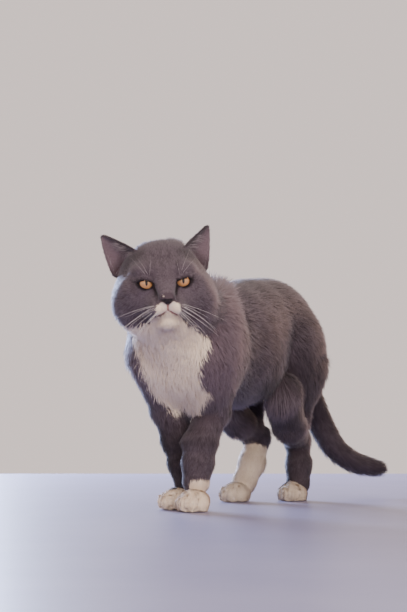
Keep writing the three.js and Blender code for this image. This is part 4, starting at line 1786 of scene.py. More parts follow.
@dataclass
class Coat:
    """The plush coat: thin overlapping tufts, bent like blades, that grow out of the skin along its lie."""

    skin: Object
    reading: CoatMap
    cover: float = 6.4  # how many tufts lie over each spot
    most: int = 620_000  # tufts in all
    most_in_piece: int = 96_000
    fewest: int = 60  # tufts that make a piece of their own
    length: float = 2.0  # of a tuft, for each millimetre of the coat's depth
    shortest: float = 1.2  # and what is added to that
    growth: tuple[float, float] = (0.72, 1.14)  # the least and the most that a tuft differs from that
    falls: tuple[Fall, ...] = (
        Fall((5, -113, 119), (20, 20, 20), 0.7, 22),  # between the forelegs
        Fall((14, 12, 128), (46, 66, 20), 0.7, 20, 1.5),  # under the belly
        Fall((58, 40, 170), (24, 28, 32), 0.7, 20, 1.5),  # the fold from the flank to the knee
        Fall((-58, 20, 170), (24, 28, 32), 0.7, 20, 1.5),  # and the right one
        Fall((26, -104, 262), (34, 32, 20), 1.1, -24),  # the nape, where it stands up
        Fall((50, 88, 158), (22, 22, 26), -0.3, 7, 1.5),  # the knee, whose hair is short
        Fall((-50, 68, 158), (22, 22, 26), -0.3, 7, 1.5),  # and the right one
    )
    tail_end: float = 0.45  # how much shorter the coat is at the tail's tip
    tail_end_reach: float = 24.0
    puff_at: Triple = (22.0, 44.0, -42.0)  # between crown and ears, where the fur stands up
    puff_reach: float = 11.0
    puff: float = 0.65  # how much higher it stands there
    puff_longer: float = 0.7
    puff_side: float = 0.65  # how much of that moves from his right to his left
    full: float = 3.0  # depth from which tufts stand up fully
    flattest: float = 0.25  # share of that where the coat is very short
    bend: tuple[float, float, float] = (0.74, 0.36, 0.3)  # shares of rise, run and pull at a tuft's middle
    pull: tuple[float, float] = (0.13, 0.42)  # how much blue and white tufts lean together in their locks
    roll: float = 20.0  # degrees that tufts turn about their own way, in full coat
    width: tuple[float, float] = (0.25, 0.031)  # of any tuft, and more for each millimetre of its length
    buried: float = 0.3
    spread: float = 11.0  # degrees that tufts stray from the lie
    lock_spread: float = 0.65  # and whole locks, as a share of that
    clump: float = 7.5  # size of the locks that lean together, in full coat
    lock_tone: float = 0.1  # how much locks, single tufts, and the face's stripes and painted highlights differ in tone
    tuft_tone: float = 0.13
    stripe_tone: float = 0.36
    chest_tone: float = 0.45  # painted light: how much paler the white between the forelegs is made, against the shade of its hanging hair
    patch: float = 0.003  # size of a tuft on the map
    ear_back: float = 1.7  # depth of the coat behind the ears
    ear_front: float = 1.2
    random: np.random.Generator = field(default_factory=lambda: np.random.default_rng(SEED))

    def grow(self) -> dict[str, Object]:
        """Makes every piece of the coat.

        Returns:
            The pieces by name, whose name ends in blue or white.
        """
        roots = self.sow()
        LOG.info("coat: %d tufts", len(roots.at))
        pieces = {}
        for index, part in enumerate(Part):
            for white in (False, True):
                chosen = np.flatnonzero((roots.part == index) & (roots.white == white))
                if len(chosen) < self.fewest:
                    continue
                chunks = -(-len(chosen) // self.most_in_piece)
                order = np.argsort(roots.at[chosen, 0], kind="stable")
                for number, rows in enumerate(np.array_split(chosen[order], chunks)):
                    suffix = f"_{number + 1}" if chunks > 1 else ""
                    name = f"coat_{part.value}{suffix}_{'white' if white else 'blue'}"
                    pieces[name] = self.piece(name, part, roots.some(rows))
        return pieces

    def sow(self) -> Roots:
        """Spreads roots over the skin, closer where the tufts are small.

        Returns:
            The roots.
        """
        mesh = self.skin.data
        mesh.calc_loop_triangles()
        corners = np.empty(len(mesh.loop_triangles) * 3, np.int32)
        mesh.loop_triangles.foreach_get("vertices", corners)
        corners = corners.reshape(-1, 3)
        spots, normals = places(mesh), vertex_normals(mesh)
        first, second, third = (spots[corners[:, i]] for i in range(3))
        area = 0.5 * np.linalg.norm(np.cross(second - first, third - first), axis=1)
        middle = (first + second + third) / 3
        facing = unit(normals[corners].sum(axis=1))
        depth, lie, part = self.reading.read(middle)
        depth = np.maximum(depth, 0.7)

        ears = read_ears(middle, facing, depth)
        hair = np.where(ears.inner, self.ear_front, self.ear_back)
        short = np.sqrt(ears.share)
        depth = depth * (1 - short) + hair * short
        lie = unit(lie * (1 - ears.share[:, None]) + ears.rise * ears.share[:, None])
        part = np.where(ears.share > 0.5, list(Part).index(Part.EARS), part)
        bare = bare_share(middle)
        thin = ears.share * ears.inner * fade(np.abs(ears.across), 0.95, 0.55)
        full = (1 - bare) * (1 - 0.25 * thin)

        length = self.length * depth + self.shortest
        width = self.width[0] + self.width[1] * length
        wanted = self.cover * 2 / (length * width) * area * full
        wanted *= min(1.0, self.most / wanted.sum())
        count = np.floor(wanted + self.random.random(len(wanted))).astype(int)
        chosen = np.repeat(np.arange(len(wanted)), count)
        one, two = self.random.random((2, len(chosen)))
        over = one + two > 1
        one, two = np.where(over, 1 - one, one), np.where(over, 1 - two, two)
        shares = np.stack([1 - one - two, one, two], axis=1)
        at = np.einsum("pc,pci->pi", shares, spots[corners[chosen]])
        normal = unit(np.einsum("pc,pci->pi", shares, normals[corners[chosen]]))
        bare_here = bare_share(at) > self.random.random(len(at))
        white = white_share(at) > self.random.random(len(at))
        size = close_crop(at) * (1 - 0.35 * bare[chosen])
        size = size * (1 - 2.4 * ears.share * (1 - ears.share))[chosen]
        off = np.linalg.norm(at - np.array(TAIL_PATH[-1]), axis=1) / self.tail_end_reach
        size = size * (1 - self.tail_end * np.exp(-(off**2)))
        roots = Roots(at, normal, lie[chosen], depth[chosen], part[chosen], white, size)
        return roots.some(~bare_here)

    def locks(self, roots: Roots) -> tuple[np.ndarray, np.ndarray]:
        """Gathers roots in small locks.

        Args:
            roots: The roots.

        Returns:
            The number of each root's lock, and how many roots each lock has.
        """
        wander = np.stack([ripple(roots.at, 13.0, seed) for seed in (31, 32, 33)], axis=1)
        size = self.clump * np.clip(np.round(roots.depth / 4) / 2, 0.5, 1.0)
        cells = np.floor((roots.at + 4.0 * wander) / size[:, None]).astype(np.int64)
        keys = cells @ np.array([1, 4096, 4096 * 4096]) + np.where(roots.white, 7, 0)
        keys = keys + (size * 1000).astype(np.int64) * 2**40
        _, number = np.unique(keys, return_inverse=True)
        return number, np.bincount(number)

    def piece(self, name: str, part: Part, roots: Roots) -> Object:
        """One mesh of tufts.

        Args:
            name: The piece's name.
            part: The part of the coat.
            roots: Where its tufts grow.

        Returns:
            The piece.
        """
        number, members = self.locks(roots)
        sums = np.stack([np.bincount(number, roots.at[:, axis]) for axis in range(3)], axis=1)
        turn, tone = self.random.normal(size=(2, len(members)))
        points, facing = self.blades(roots, (sums / members[:, None])[number], turn[number])
        mesh, faces = blade_mesh(name, points, facing)
        self.mark(mesh, part, roots, tone[number])
        spot = place_on_map(part, roots.at, roots.normal)
        shape = self.patch * np.array([(0, -0.5), (-0.45, 0), (0.45, 0), (0, 0.5)])
        corners = (spot[:, None] + shape).reshape(-1, 2)[faces.ravel()]
        mesh.uv_layers.new(name="OFBake").data.foreach_set("uv", corners.astype(np.float32).ravel())
        return piece_of(name, mesh)

    def blades(self, roots: Roots, centre: Points, turn: Levels) -> tuple[Points, Points]:
        """The forms of tufts, which leave the skin steeply and bend over.

        Args:
            roots: Where they grow.
            centre: The middle of each one's lock.
            turn: How far its lock turns, either way.

        Returns:
            Root, left, right and tip of each tuft, and the ways that they are lit as facing.
        """
        count, normal = len(roots.at), roots.normal
        down = sum(fall.plumb * fall.share(roots.at) for fall in self.falls)
        lie = roots.lie + down[:, None] * np.array([0.0, 0.0, -1.0])
        way = unit(along_skin(lie, normal) + 0.02 * self.random.normal(size=(count, 3)))
        left = np.cross(normal, way)
        stray = np.radians(self.spread * (self.random.normal(size=count) + self.lock_spread * turn))[:, None]
        ahead = np.cos(stray) * way + np.sin(stray) * left
        beside = np.cos(stray) * left - np.sin(stray) * way
        growth = self.random.uniform(*self.growth, count) * roots.size
        puff = self.puff_share(to_head(roots.at))
        flat = np.clip(roots.depth / self.full, self.flattest, 1)
        rise = (roots.depth * growth * flat * (1 + self.puff * puff))[:, None]
        length = (self.length * roots.depth + self.shortest) * growth * (1 + self.puff_longer * puff)
        drop = np.zeros((count, 3))
        for fall in self.falls:
            share = fall.share(roots.at)
            length = length * (1 + fall.longer * share)
            drop[:, 2] -= fall.drop * share
        run = np.sqrt(np.maximum(length**2 - rise[:, 0] ** 2, 0.2))[:, None]
        width = (self.width[0] + self.width[1] * length)[:, None] * self.random.uniform(0.85, 1.2, (count, 1))
        roll = np.radians(self.roll * flat * self.random.normal(size=count))[:, None]
        edge = np.cos(roll) * beside + np.sin(roll) * normal
        lean = np.where(roots.white, self.pull[1], self.pull[0])[:, None]
        pull = along_skin(centre - roots.at, normal) * lean * np.clip(roots.depth / 6, 0, 1)[:, None]

        root = roots.at - self.buried * normal
        up, on, over = self.bend
        middle = root + up * rise * normal + on * run * ahead + over * pull + over * drop
        tip = root + rise * normal + run * ahead + pull + drop
        points = np.stack([root, middle - 0.5 * width * edge, middle + 0.5 * width * edge, tip], axis=1)
        points[..., 2] = np.maximum(points[..., 2], 0.3)
        facing = np.stack([normal, normal - 0.35 * edge, normal + 0.35 * edge, normal + 0.25 * ahead], axis=1)
        return points, facing

    def puff_share(self, local: Points) -> Levels:
        """How much the hair stands up round the crown, at points of the head's frame.

        Args:
            local: Places in the head's frame.

        Returns:
            The shares, from 0 to 1.
        """
        folded = np.concatenate([np.abs(local[:, :1]), local[:, 1:]], axis=1)
        puff = np.exp(-((np.linalg.norm(folded - self.puff_at, axis=1) / self.puff_reach) ** 2))
        return puff * (1 + self.puff_side * np.sign(local[:, 0]))

    def mark(self, mesh: Mesh, part: Part, roots: Roots, tone: Levels) -> None:
        """Keeps what the finish of the hair reads: its tone, with painted light and shade, where its tip is,
        where it is pink or carries painted light on the shoulders, and where it is dark or in painted shade.

        Args:
            mesh: The tufts.
            part: The part of the coat.
            roots: Where they grow.
            tone: How pale each one's lock is, either way.
        """
        local = to_head(roots.at)
        ears = read_ears(roots.at, roots.normal, roots.depth)
        stray = self.random.normal(size=len(roots.at))
        # tone: locks, tufts and the face's marks, with painted light and shade over the body and painted
        # light on the white between the forelegs
        pale = 0.5 + self.lock_tone * tone + self.tuft_tone * stray - self.stripe_tone * stripes(local)
        pale = pale + painted_light_and_bands(roots.at) + self.chest_tone * roots.white * self.falls[0].share(roots.at)
        glow = self.pinkness(part, local, ears)
        # painted light: a paler, warmer rim on the blue at the front of the shoulders, kept in the pink mark
        if part in (Part.NECK, Part.BODY, Part.FORELEGS):
            glow = np.maximum(glow, PAINTED_SHOULDER_LIGHT.level(roots.at) * ~roots.white)
        # painted shade over the limbs, tail, back and flanks, with the legs' darker tone, and painted shade
        # on the hind feet's white
        limb_tone_and_painted_shade = np.maximum.reduce([wash.level(roots.at) for wash in DARKER_AND_PAINTED_SHADE])
        limb_tone_and_painted_shade = np.where(roots.white, PAINTED_SHADE_HIND_WHITE.level(roots.at), limb_tone_and_painted_shade)
        # dark: lid rims and eye lines, with painted shade between the toes, at the ears and on the body
        dark = np.maximum.reduce([rim_share(local), cleft_share(roots.at), ear_rim_hair_and_painted_shade(local, ears), limb_tone_and_painted_shade])
        for name, values in (("tone", np.clip(pale, 0, 1)), ("pink", glow), ("dark", dark)):
            store(mesh, name, np.repeat(values, 4))
        store(mesh, "tip", np.tile([0.0, 0.5, 0.5, 1.0], len(roots.at)))

    @staticmethod
    def pinkness(part: Part, local: Points, ears: EarPlace) -> Levels:
        """How much pink skin glows through the hair of the ears, the lips and the nose.

        Args:
            part: The part of the coat.
            local: Roots, in the head's frame.
            ears: How they lie on the ears.

        Returns:
            How pink each is.
        """
        away = np.linalg.norm(local - [0, -27, 22], axis=1)
        glow = 0.35 * fade(away, 9, 3)
        if part is Part.EARS:
            glow = glow + np.where(ears.inner, 0.16 * fade(ears.across, 0.5, -0.3), 0.0)
        return glow


# ------------ eyes, whiskers and long hairs


BEHIND_EYE = 30.0  # keeps the back of the eyeball out of the iris's rings


@dataclass
class Eye:
    """One eyeball with the low dome of its cornea."""

    side: str
    radius: float = EYE_RADIUS
    dome_angle: float = 42.0  # degrees from the eye's axis to the dome's edge
    dome_rise: float = 0.9
    gaze: tuple[float, float] = (9.0, 0.0)  # degrees that it turns up, and to the cat's left

    def build(self) -> Object:
        """Makes the eyeball and keeps its own coordinates for the iris.

        Returns:
            The eyeball.
        """
        deselect_all()
        bpy.ops.mesh.primitive_uv_sphere_add(segments=64, ring_count=44, radius=1)
        eye = bpy.context.object
        eye.name = eye.data.name = f"eyeball_{self.side}"
        ball = unit(drawn(eye.data))
        angle = np.degrees(np.arccos(np.clip(ball[:, 2], -1, 1)))
        dome = np.clip(1 - (angle / self.dome_angle) ** 2, 0, 1) ** 1.5
        local = ball * (self.radius + self.dome_rise * dome)[:, None]
        turn = turned("X", -self.gaze[0]) @ turned("Y", self.gaze[1])
        move_to(eye.data, from_head(local @ turn.T + eye_centre(self.side)))
        front = local[:, 2] > 0
        store(eye.data, "across", np.where(front, local[:, 0], BEHIND_EYE))
        store(eye.data, "up", local[:, 1])
        eye.data.shade_smooth()
        return eye


def tubes(name: str, paths: Points, widths: Levels, sides: int = 5) -> Object:
    """Thin round hairs that taper to a point, joined in one mesh.

    Args:
        name: The piece's name.
        paths: For each hair, its points from the root to the tip.
        widths: For each hair, its width at the root.
        sides: How many sides the hairs have.

    Returns:
        The piece.
    """
    count, steps = paths.shape[:2]
    along = np.gradient(paths, axis=1)
    along /= np.linalg.norm(along, axis=2, keepdims=True)
    beside = np.cross(along, [0.12, 0.2, 1.0])
    beside /= np.linalg.norm(beside, axis=2, keepdims=True)
    over = np.cross(along, beside)
    angle = np.linspace(0, 2 * math.pi, sides, endpoint=False)
    taper = np.sqrt(np.linspace(1, 0.02, steps))
    radius = 0.5 * widths[:, None, None, None] * taper[None, :, None, None]
    ring = np.cos(angle)[:, None] * beside[:, :, None] + np.sin(angle)[:, None] * over[:, :, None]
    points = (paths[:, :, None] + radius * ring).reshape(-1, 3)
    step, side = np.meshgrid(np.arange(steps - 1), np.arange(sides), indexing="ij")
    after = (side + 1) % sides
    low, high = step * sides, (step + 1) * sides
    quads = np.stack([low + side, low + after, high + after, high + side], axis=-1)
    faces = (quads.reshape(-1, 4)[None] + (np.arange(count) * steps * sides)[:, None, None]).reshape(-1, 4)
    caps = [[hair * steps * sides + n for n in reversed(range(sides))] for hair in range(count)]
    ends = [[(hair + 1) * steps * sides - sides + n for n in range(sides)] for hair in range(count)]
    mesh = bpy.data.meshes.new(name)
    mesh.from_pydata(to_metres(points).tolist(), [], faces.tolist() + caps + ends)
    mesh.shade_smooth()
    return piece_of(name, mesh)


def hang(start: Points, way: Points, length: Levels, droop: Levels, steps: int) -> Points:
    """Paths of hairs that set off one way and droop under their weight.

    Args:
        start: Their roots, in the body's frame.
        way: The way that each sets off.
        length: How long each is.
        droop: How far each tip hangs under a straight line.
        steps: How many points each path has.

    Returns:
        The points of each path.
    """
    share = np.linspace(0, 1, steps)[None, :, None]
    straight = start[:, None] + share * (unit(way) * length[:, None])[:, None]
    fall = np.array([0.0, 0.0, -1.0]) * droop[:, None, None]
    return straight + fall * share**2.2


@dataclass
class Whiskers:
    """The long white whiskers, the hairs over the eyes and the fringe inside the ears."""

    thickness: float = 0.29
    brow_thickness: float = 0.13
    ear_thickness: float = 0.2
    # each row's height, how far across it starts, and how many whiskers it has
    rows: tuple[Triple, ...] = ((-24.0, 12.5, 2), (-27.0, 10.5, 3), (-30.5, 9.5, 3), (-33.5, 11.0, 2))
    lengths: Triple = (42, 52, 57)  # of the upper row's whiskers, from the nose back
    droops: Triple = (5, 8, 10)
    brow_count: int = 3
    fringe_count: int = 90
    random: np.random.Generator = field(default_factory=lambda: np.random.default_rng(SEED + 1))

    def surface(self, local: Points) -> Points:
        """Places of the head's frame brought to the skin's outer coat, in the body's frame."""
        points = from_head(local)
        return settle(points, body_level, np.full(len(points), 1.4), 5)

    def muzzle(self, side: str) -> Object:
        """The whiskers of one side.

        Args:
            side: Which side.

        Returns:
            The piece.
        """
        sign = SIDES[side]
        rows = enumerate(self.rows)
        table = [(i, j, height, first) for i, (height, first, number) in rows for j in range(number)]
        row, column, height, first = np.array(table).T
        count, nth = len(table), column.astype(int)
        local = np.stack([sign * (first + 3.4 * column), height - 0.3 * column, 19.5 - 2.2 * column], axis=1)
        local = local + self.random.normal(0, 0.3, (count, 3))
        ways = [np.full(count, sign), -0.34 - 0.06 * sign - 0.19 * row, 0.06 - 0.17 * column]
        ways = np.stack(ways, axis=1) + self.random.normal(0, 0.07, (count, 3))
        lengths = (np.array(self.lengths)[nth] - 3.0 * row) * self.random.uniform(0.86, 1.08, count)
        droops = np.array(self.droops)[nth] * self.random.uniform(0.7, 1.3, count)
        paths = hang(self.surface(local), ways @ HEAD_AXES.T, lengths, droops, 14)
        return tubes(f"whiskers_{side}", paths, np.full(len(paths), self.thickness), 6)

    def brow(self, side: str) -> Object:
        """The few long hairs over one eye.

        Args:
            side: Which eye it is over.

        Returns:
            The hairs.
        """
        sign, count = SIDES[side], self.brow_count
        spread = np.linspace(-1, 1, count)
        one = np.ones(count)
        local = np.stack([sign * (19.5 + 2.2 * spread), 11.5 - 0.8 * np.abs(spread), one], axis=1)
        ways = np.stack([sign * (0.3 + 0.5 * spread), one, 0.25 * one], axis=1)
        ways = ways + self.random.normal(0, 0.12, ways.shape)
        length = self.random.uniform(22, 36, count)
        paths = hang(self.surface(local), ways @ HEAD_AXES.T, length, 0.14 * length, 10)
        return tubes(f"brow_hairs_{side}", paths, np.full(count, self.brow_thickness), 5)

    def ear(self, side: str) -> Object:
        """The fringe that fans out over one ear from its inner rim.

        Args:
            side: Which ear it is on.

        Returns:
            The fringe.
        """
        count = self.fringe_count
        share = self.random.uniform(-0.02, 0.62, count)
        across = np.where(self.random.random(count) < 0.78, self.random.uniform(0.35, 0.9, count), -0.85)
        start = ear_place(side, across, share)
        _, rise, half, front = ear_axes(side)
        mirror = np.array([SIDES[side], 1, 1])
        fan = self.random.normal(0, 0.16, (count, 3))
        inwards = -np.sign(across)[:, None] * half / np.linalg.norm(half)
        ways = 0.75 * inwards + 0.62 * rise / np.linalg.norm(rise) + 0.42 * front + fan
        length = self.random.uniform(7, 15, count) * (1.05 - 0.5 * share) * np.where(across > 0, 1, 0.55)
        start = from_head(start + front * mirror)
        paths = hang(start, (ways * mirror) @ HEAD_AXES.T, length, 0.1 * length, 7)
        return tubes(f"ear_fringe_{side}", paths, np.full(count, self.ear_thickness), 4)


# ------------ finishes


AddNode = Callable[..., NodeSocket]
SHARE, UNDER, OVER, MIXED = 0, 6, 7, 2  # the sockets of a Mix node for colours


def linear(value: str) -> tuple[float, float, float, float]:
    """An sRGB hex colour as the linear numbers that shaders take."""
    parts = [int(value[i : i + 2], 16) / 255 for i in (1, 3, 5)]
    return (*(p / 12.92 if p <= 0.04045 else ((p + 0.055) / 1.055) ** 2.4 for p in parts), 1.0)


def set_inputs(tree: NodeTree, node: Node, inputs: dict[object, object]) -> None:
    """Sets a node's inputs.

    Args:
        tree: The material's nodes.
        node: The node.
        inputs: A number, a hex colour or another node's output for each input.
    """
    for key, value in inputs.items():
        if isinstance(value, NodeSocket):
            tree.links.new(value, node.inputs[key])
        else:
            node.inputs[key].default_value = linear(value) if isinstance(value, str) else value


def add_node(
    tree: NodeTree,
    kind: str,
    inputs: Optional[dict[object, object]] = None,
    out: object = 0,
    stops: Iterable[tuple[float, str]] = (),
    **settings: object,
) -> NodeSocket:
    """Adds a shader node.

    Args:
        tree: The material's nodes.
        kind: The node's type, without its ShaderNode prefix.
        inputs: A number, a hex colour or another node's output for each input.
        out: Which of its outputs is wanted.
        stops: Places and hex colours, for a colour ramp.
        settings: The node's own settings.

    Returns:
        The output.
    """
    node = tree.nodes.new("ShaderNode" + kind)
    for name, value in settings.items():
        setattr(node, name, value)
    set_inputs(tree, node, inputs or {})
    for number, (place, value) in enumerate(stops):
        if number < 2:
            node.color_ramp.elements[number].position = place
        else:
            node.color_ramp.elements.new(place)
        node.color_ramp.elements[number].color = linear(value)
    return node.outputs[out]


@dataclass(frozen=True)
class Finish:
    """What a surface is made of. Each kind has looks of its own."""

    name: str
    roughness: float

    def material(self) -> Material:
        """Makes the material.

        Returns:
            The material.
        """
        material = bpy.data.materials.new(self.name)
        material.use_nodes = True
        tree = material.node_tree
        looks = {"Roughness": self.roughness, **self.looks(partial(add_node, tree))}
        set_inputs(tree, tree.nodes["Principled BSDF"], looks)
        return material

    def looks(self, add: AddNode) -> dict[str, object]:
        """What gives the surface its look.

        Args:
            add: Adds a node and gives its output.

        Returns:
            Inputs of the shader.
        """
        return {}


@dataclass(frozen=True)
class Fur(Finish):
    """Guard hair: dull at its root and paler at its tip, with the soft sheen of many thin hairs."""

    root: str
    middle: str
    tip: str
    shade: str  # where locks part, and where the tone carries painted shade
    contrast: float
    sheen: float = 0.15
    glow: str = "#B3939C"  # skin that shines through thin hair, and painted light on the shoulders
    line: str = "#1E1719"  # the darkest hair, round the eyes, which also paints the shade between the toes, at the ears and on the limbs and body
    open_patch: float = 45 * MM  # width of the patches where the coat lies a little more open

    def looks(self, add: AddNode) -> dict[str, object]:
        """Colours each hair along its length and by the marks that it carries, painted light and painted
        shade among them.

        Args:
            add: Adds a node to the material and links it.

        Returns:
            What the surface's inputs are set or linked to.
        """
        marks = ("tip", "tone", "pink", "dark")
        tip, tone, pink, dark = (add("Attribute", out="Fac", attribute_name=mark) for mark in marks)
        stops = ((0.0, self.root), (0.55, self.middle), (1.0, self.tip))
        hair = add("ValToRGB", {"Fac": tip}, stops=stops)
        place = add("TexCoord", out="Object")
        cloud = add("TexNoise", {"Vector": place, "Scale": 1 / self.open_patch, "Detail": 2.0})
        pale = add("Math", {0: tone, 1: cloud}, operation="ADD")
        limits = {"From Min": 0.62, "From Max": 1.15, "To Min": self.contrast, "To Max": 0.0}
        parted = add("MapRange", {"Value": pale, **limits})
        # tone and the dark mark carry painted shade, tone and the pink mark painted light
        for share, value in ((parted, self.shade), (pink, self.glow), (dark, self.line)):
            hair = add("Mix", {SHARE: share, UNDER: hair, OVER: value}, MIXED, data_type="RGBA")
        sheen = {"Sheen Weight": self.sheen, "Sheen Roughness": 0.5}
        return {"Base Color": hair, "Specular IOR Level": 0.25, **sheen}


@dataclass(frozen=True)
class Pelt(Finish):
    """Skin and underwool in the coat's own markings, nose leather, lips, lid rims and painted shade at the
    ears.
    """

    blue: str
    white: str
    leather: str
    lips: str
    # lid rims, and painted shade at the ears
    rims: str
    moist: float = 0.42  # roughness of the nose leather
    wool: float = 1.1 * MM  # tufts of underwool, since its hairs of 0.02 mm are too fine to show
    pebble: float = 0.8 * MM  # pebbles of the nose leather, twice as coarse as they are
    fleck: float = 30 * MM  # patches where the underwool is thinner
    bump: float = 0.4 * MM

    def looks(self, add: AddNode) -> dict[str, object]:
        """Lays the markings and the painted shade at the ears over each other, and roughens the surface with
        wool and leather grain.

        Args:
            add: Adds a node to the material and links it.

        Returns:
            What the surface's inputs are set or linked to.
        """
        place = add("TexCoord", out="Object")
        wool = add("TexNoise", {"Vector": place, "Scale": 1 / self.wool, "Detail": 3.0})
        flecks = add("TexNoise", {"Vector": place, "Scale": 1 / self.fleck})
        value = add("MapRange", {"Value": flecks, "To Min": 0.8, "To Max": 1.15})
        shown = self.blue
        # the dark mark holds the lid rims and painted shade at the ears
        marks = {"white": self.white, "pink": self.lips, "dark": self.rims, "leather": self.leather}
        for mark, over in marks.items():
            mask = add("Attribute", out="Fac", attribute_name=mark)
            shown = add("Mix", {SHARE: mask, UNDER: shown, OVER: over}, MIXED, data_type="RGBA")
        toned = add("HueSaturation", {"Color": shown, "Value": value})
        leather = add("Attribute", out="Fac", attribute_name="leather")
        pebbles = add("TexVoronoi", {"Vector": place, "Scale": 1 / self.pebble})
        height = add("Mix", {0: leather, 2: wool, 3: pebbles}, data_type="FLOAT")
        bump = add("Bump", {"Height": height, "Strength": 0.5, "Distance": self.bump})
        rough = add("MapRange", {"Value": leather, "To Min": self.roughness, "To Max": self.moist})
        return {"Base Color": toned, "Normal": bump, "Roughness": rough, "Specular IOR Level": 0.3}


@dataclass(frozen=True)
class Iris(Finish):
    """An iris behind a wet cornea, with fine fibres, a dark outer ring and an upright slit."""

    amber: str
    inner: str
    ring: str
    pupil: str
    iris_radius: float = 8.3  # in the eyeball's own millimetres, as the slit
    slit: tuple[float, float] = (1.5, 3.6)  # half width and half height of the pupil
    fibres: float = 9.0  # how fine they are, round the iris

    def looks(self, add: AddNode) -> dict[str, object]:
        """Draws the iris in the eyeball's own coordinates, in millimetres from its axis.

        Args:
            add: Adds a node to the material and links it.

        Returns:
            What the surface's inputs are set or linked to.
        """
        across, up = (add("Attribute", out="Fac", attribute_name=name) for name in ("across", "up"))
        spot = add("CombineXYZ", {"X": across, "Y": up})
        reach = add("VectorMath", {0: spot}, "Value", operation="LENGTH")
        ray = add("VectorMath", {0: spot}, operation="NORMALIZE")
        fibres = add("TexNoise", {"Vector": ray, "Scale": self.fibres, "Detail": 4.0})
        share = add("Math", {0: reach, 1: self.iris_radius}, operation="DIVIDE")
        wave = add("MapRange", {"Value": fibres, "To Min": -0.12, "To Max": 0.12})
        uneven = add("Math", {0: share, 1: wave}, operation="ADD")
        stops = ((0.15, self.inner), (0.5, self.amber), (0.8, self.amber), (0.97, self.ring))
        rings = add("ValToRGB", {"Fac": uneven}, stops=stops)
        limits = {"From Min": 0.3, "From Max": 0.7, "To Min": 0.78, "To Max": 1.18}
        veins = add("MapRange", {"Value": fibres, **limits})
        lit = add("HueSaturation", {"Color": rings, "Value": veins})
        squeeze = (1 / self.slit[0], 1 / self.slit[1], 0)
        squeezed = add("VectorMath", {0: spot, 1: squeeze}, operation="MULTIPLY")
        hole = add("VectorMath", {0: squeezed}, "Value", operation="LENGTH")
        around = add("MapRange", {"Value": hole, "From Min": 0.9, "From Max": 1.12})
        seen = add("Mix", {SHARE: around, UNDER: self.pupil, OVER: lit}, MIXED, data_type="RGBA")
        return {"Base Color": seen, "IOR": 1.376, "Coat Weight": 1.0, "Coat Roughness": 0.02}


@dataclass(frozen=True)
class Keratin(Finish):
    """Stiff clear hair, a little glossy, for whiskers and fringes."""

    tint: str
    stretch: float = 10 * MM  # lengths of hair that differ a little in tone

    def looks(self, add: AddNode) -> dict[str, object]:
        """Lets the tint vary a little along each hair.

        Args:
            add: Adds a node to the material and links it.

        Returns:
            What the surface's inputs are set or linked to.
        """
        place = add("TexCoord", out="Object")
        noise = add("TexNoise", {"Vector": place, "Scale": 1 / self.stretch})
        value = add("MapRange", {"Value": noise, "To Min": 0.88, "To Max": 1.06})
        toned = add("HueSaturation", {"Color": self.tint, "Value": value})
        return {"Base Color": toned, "Specular IOR Level": 0.5}


@dataclass(frozen=True)
class Lino(Finish):
    """A pale floor sheet with a dull gloss and faint clouding."""

    tint: str
    cloud: str
    clouding: float = 120 * MM

    def looks(self, add: AddNode) -> dict[str, object]:
        """Clouds the floor's colour faintly.

        Args:
            add: Adds a node to the material and links it.

        Returns:
            What the surface's inputs are set or linked to.
        """
        place = add("TexCoord", out="Object")
        noise = add("TexNoise", {"Vector": place, "Scale": 1 / self.clouding, "Detail": 5.0})
        return {"Base Color": add("ValToRGB", {"Fac": noise}, stops=((0.3, self.tint), (0.7, self.cloud)))}


# Guard hair with thinned pigment: a matt slate grey with a brown cast, frosted at the tips.
BLUE_FUR = Fur("blue_grey_guard_hair", 0.72, "#2C2429", "#50454D", "#7C7179", "#332A30", contrast=0.75)
# Guard hair without pigment: warm white that dulls where locks part, and takes painted shade between the toes
# and on the hind feet.
WHITE_FUR = Fur("white_guard_hair", 0.7, "#DBC9B0", "#F5E2CA", "#FFF3E2", "#D6BFA4", contrast=0.6)
# Skin under its wool: a dull ground that no gap between hairs shines through, and a black, moist nose.
PELT = Pelt("pelt_with_underwool", 0.85, "#4C4148", "#D8CABC", "#1F181D", "#9A6C68", "#1E1719")
# Amber fibres behind a clear wet dome: depth, a dark rim and one crisp highlight.
IRIS = Iris("amber_iris_behind_cornea", 0.35, "#BB8859", "#BA9468", "#33211A", "#0B0808")
# Whiskers of solid keratin: bright threads with a slight gloss.
KERATIN = Keratin("white_whisker_keratin", 0.35, "#E9E2DD")
# Fine hair of the ears: a soft pale grey veil.
EAR_HAIR = Keratin("pale_grey_ear_hair", 0.5, "#A89CA0")
# Linoleum, waxed: a dull gloss that blurs the window's light.
LINO = Lino("pale_glossy_floor", 0.38, "#7B7895", "#84819B")


# ------------ studio


@dataclass(frozen=True)
class Lamp:
    """A soft light that faces the cat."""

    name: str
    at: Triple  # to the right, away and up, in metres from the cat
    size: float  # metres
    power: float  # watts
    tint: str
    mirrored: bool = True  # whether floor and eyes mirror it

    def hang(self, right: Vector, away: Vector) -> None:
        """Adds the light.

        Args:
            right: The way to the camera's right.
            away: The way away from the camera.
        """
        light = bpy.data.lights.new(self.name, "AREA")
        light.energy, light.size, light.color = self.power, self.size, linear(self.tint)[:3]
        thing = piece_of(self.name, light)
        thing.visible_camera = False
        thing.visible_glossy = self.mirrored
        thing.location = right * self.at[0] + away * self.at[1] + Vector((0, 0, self.at[2]))
        aim = Vector((0, 0, 0.2)) - thing.location
        thing.rotation_euler = aim.to_track_quat("-Z", "Y").to_euler()


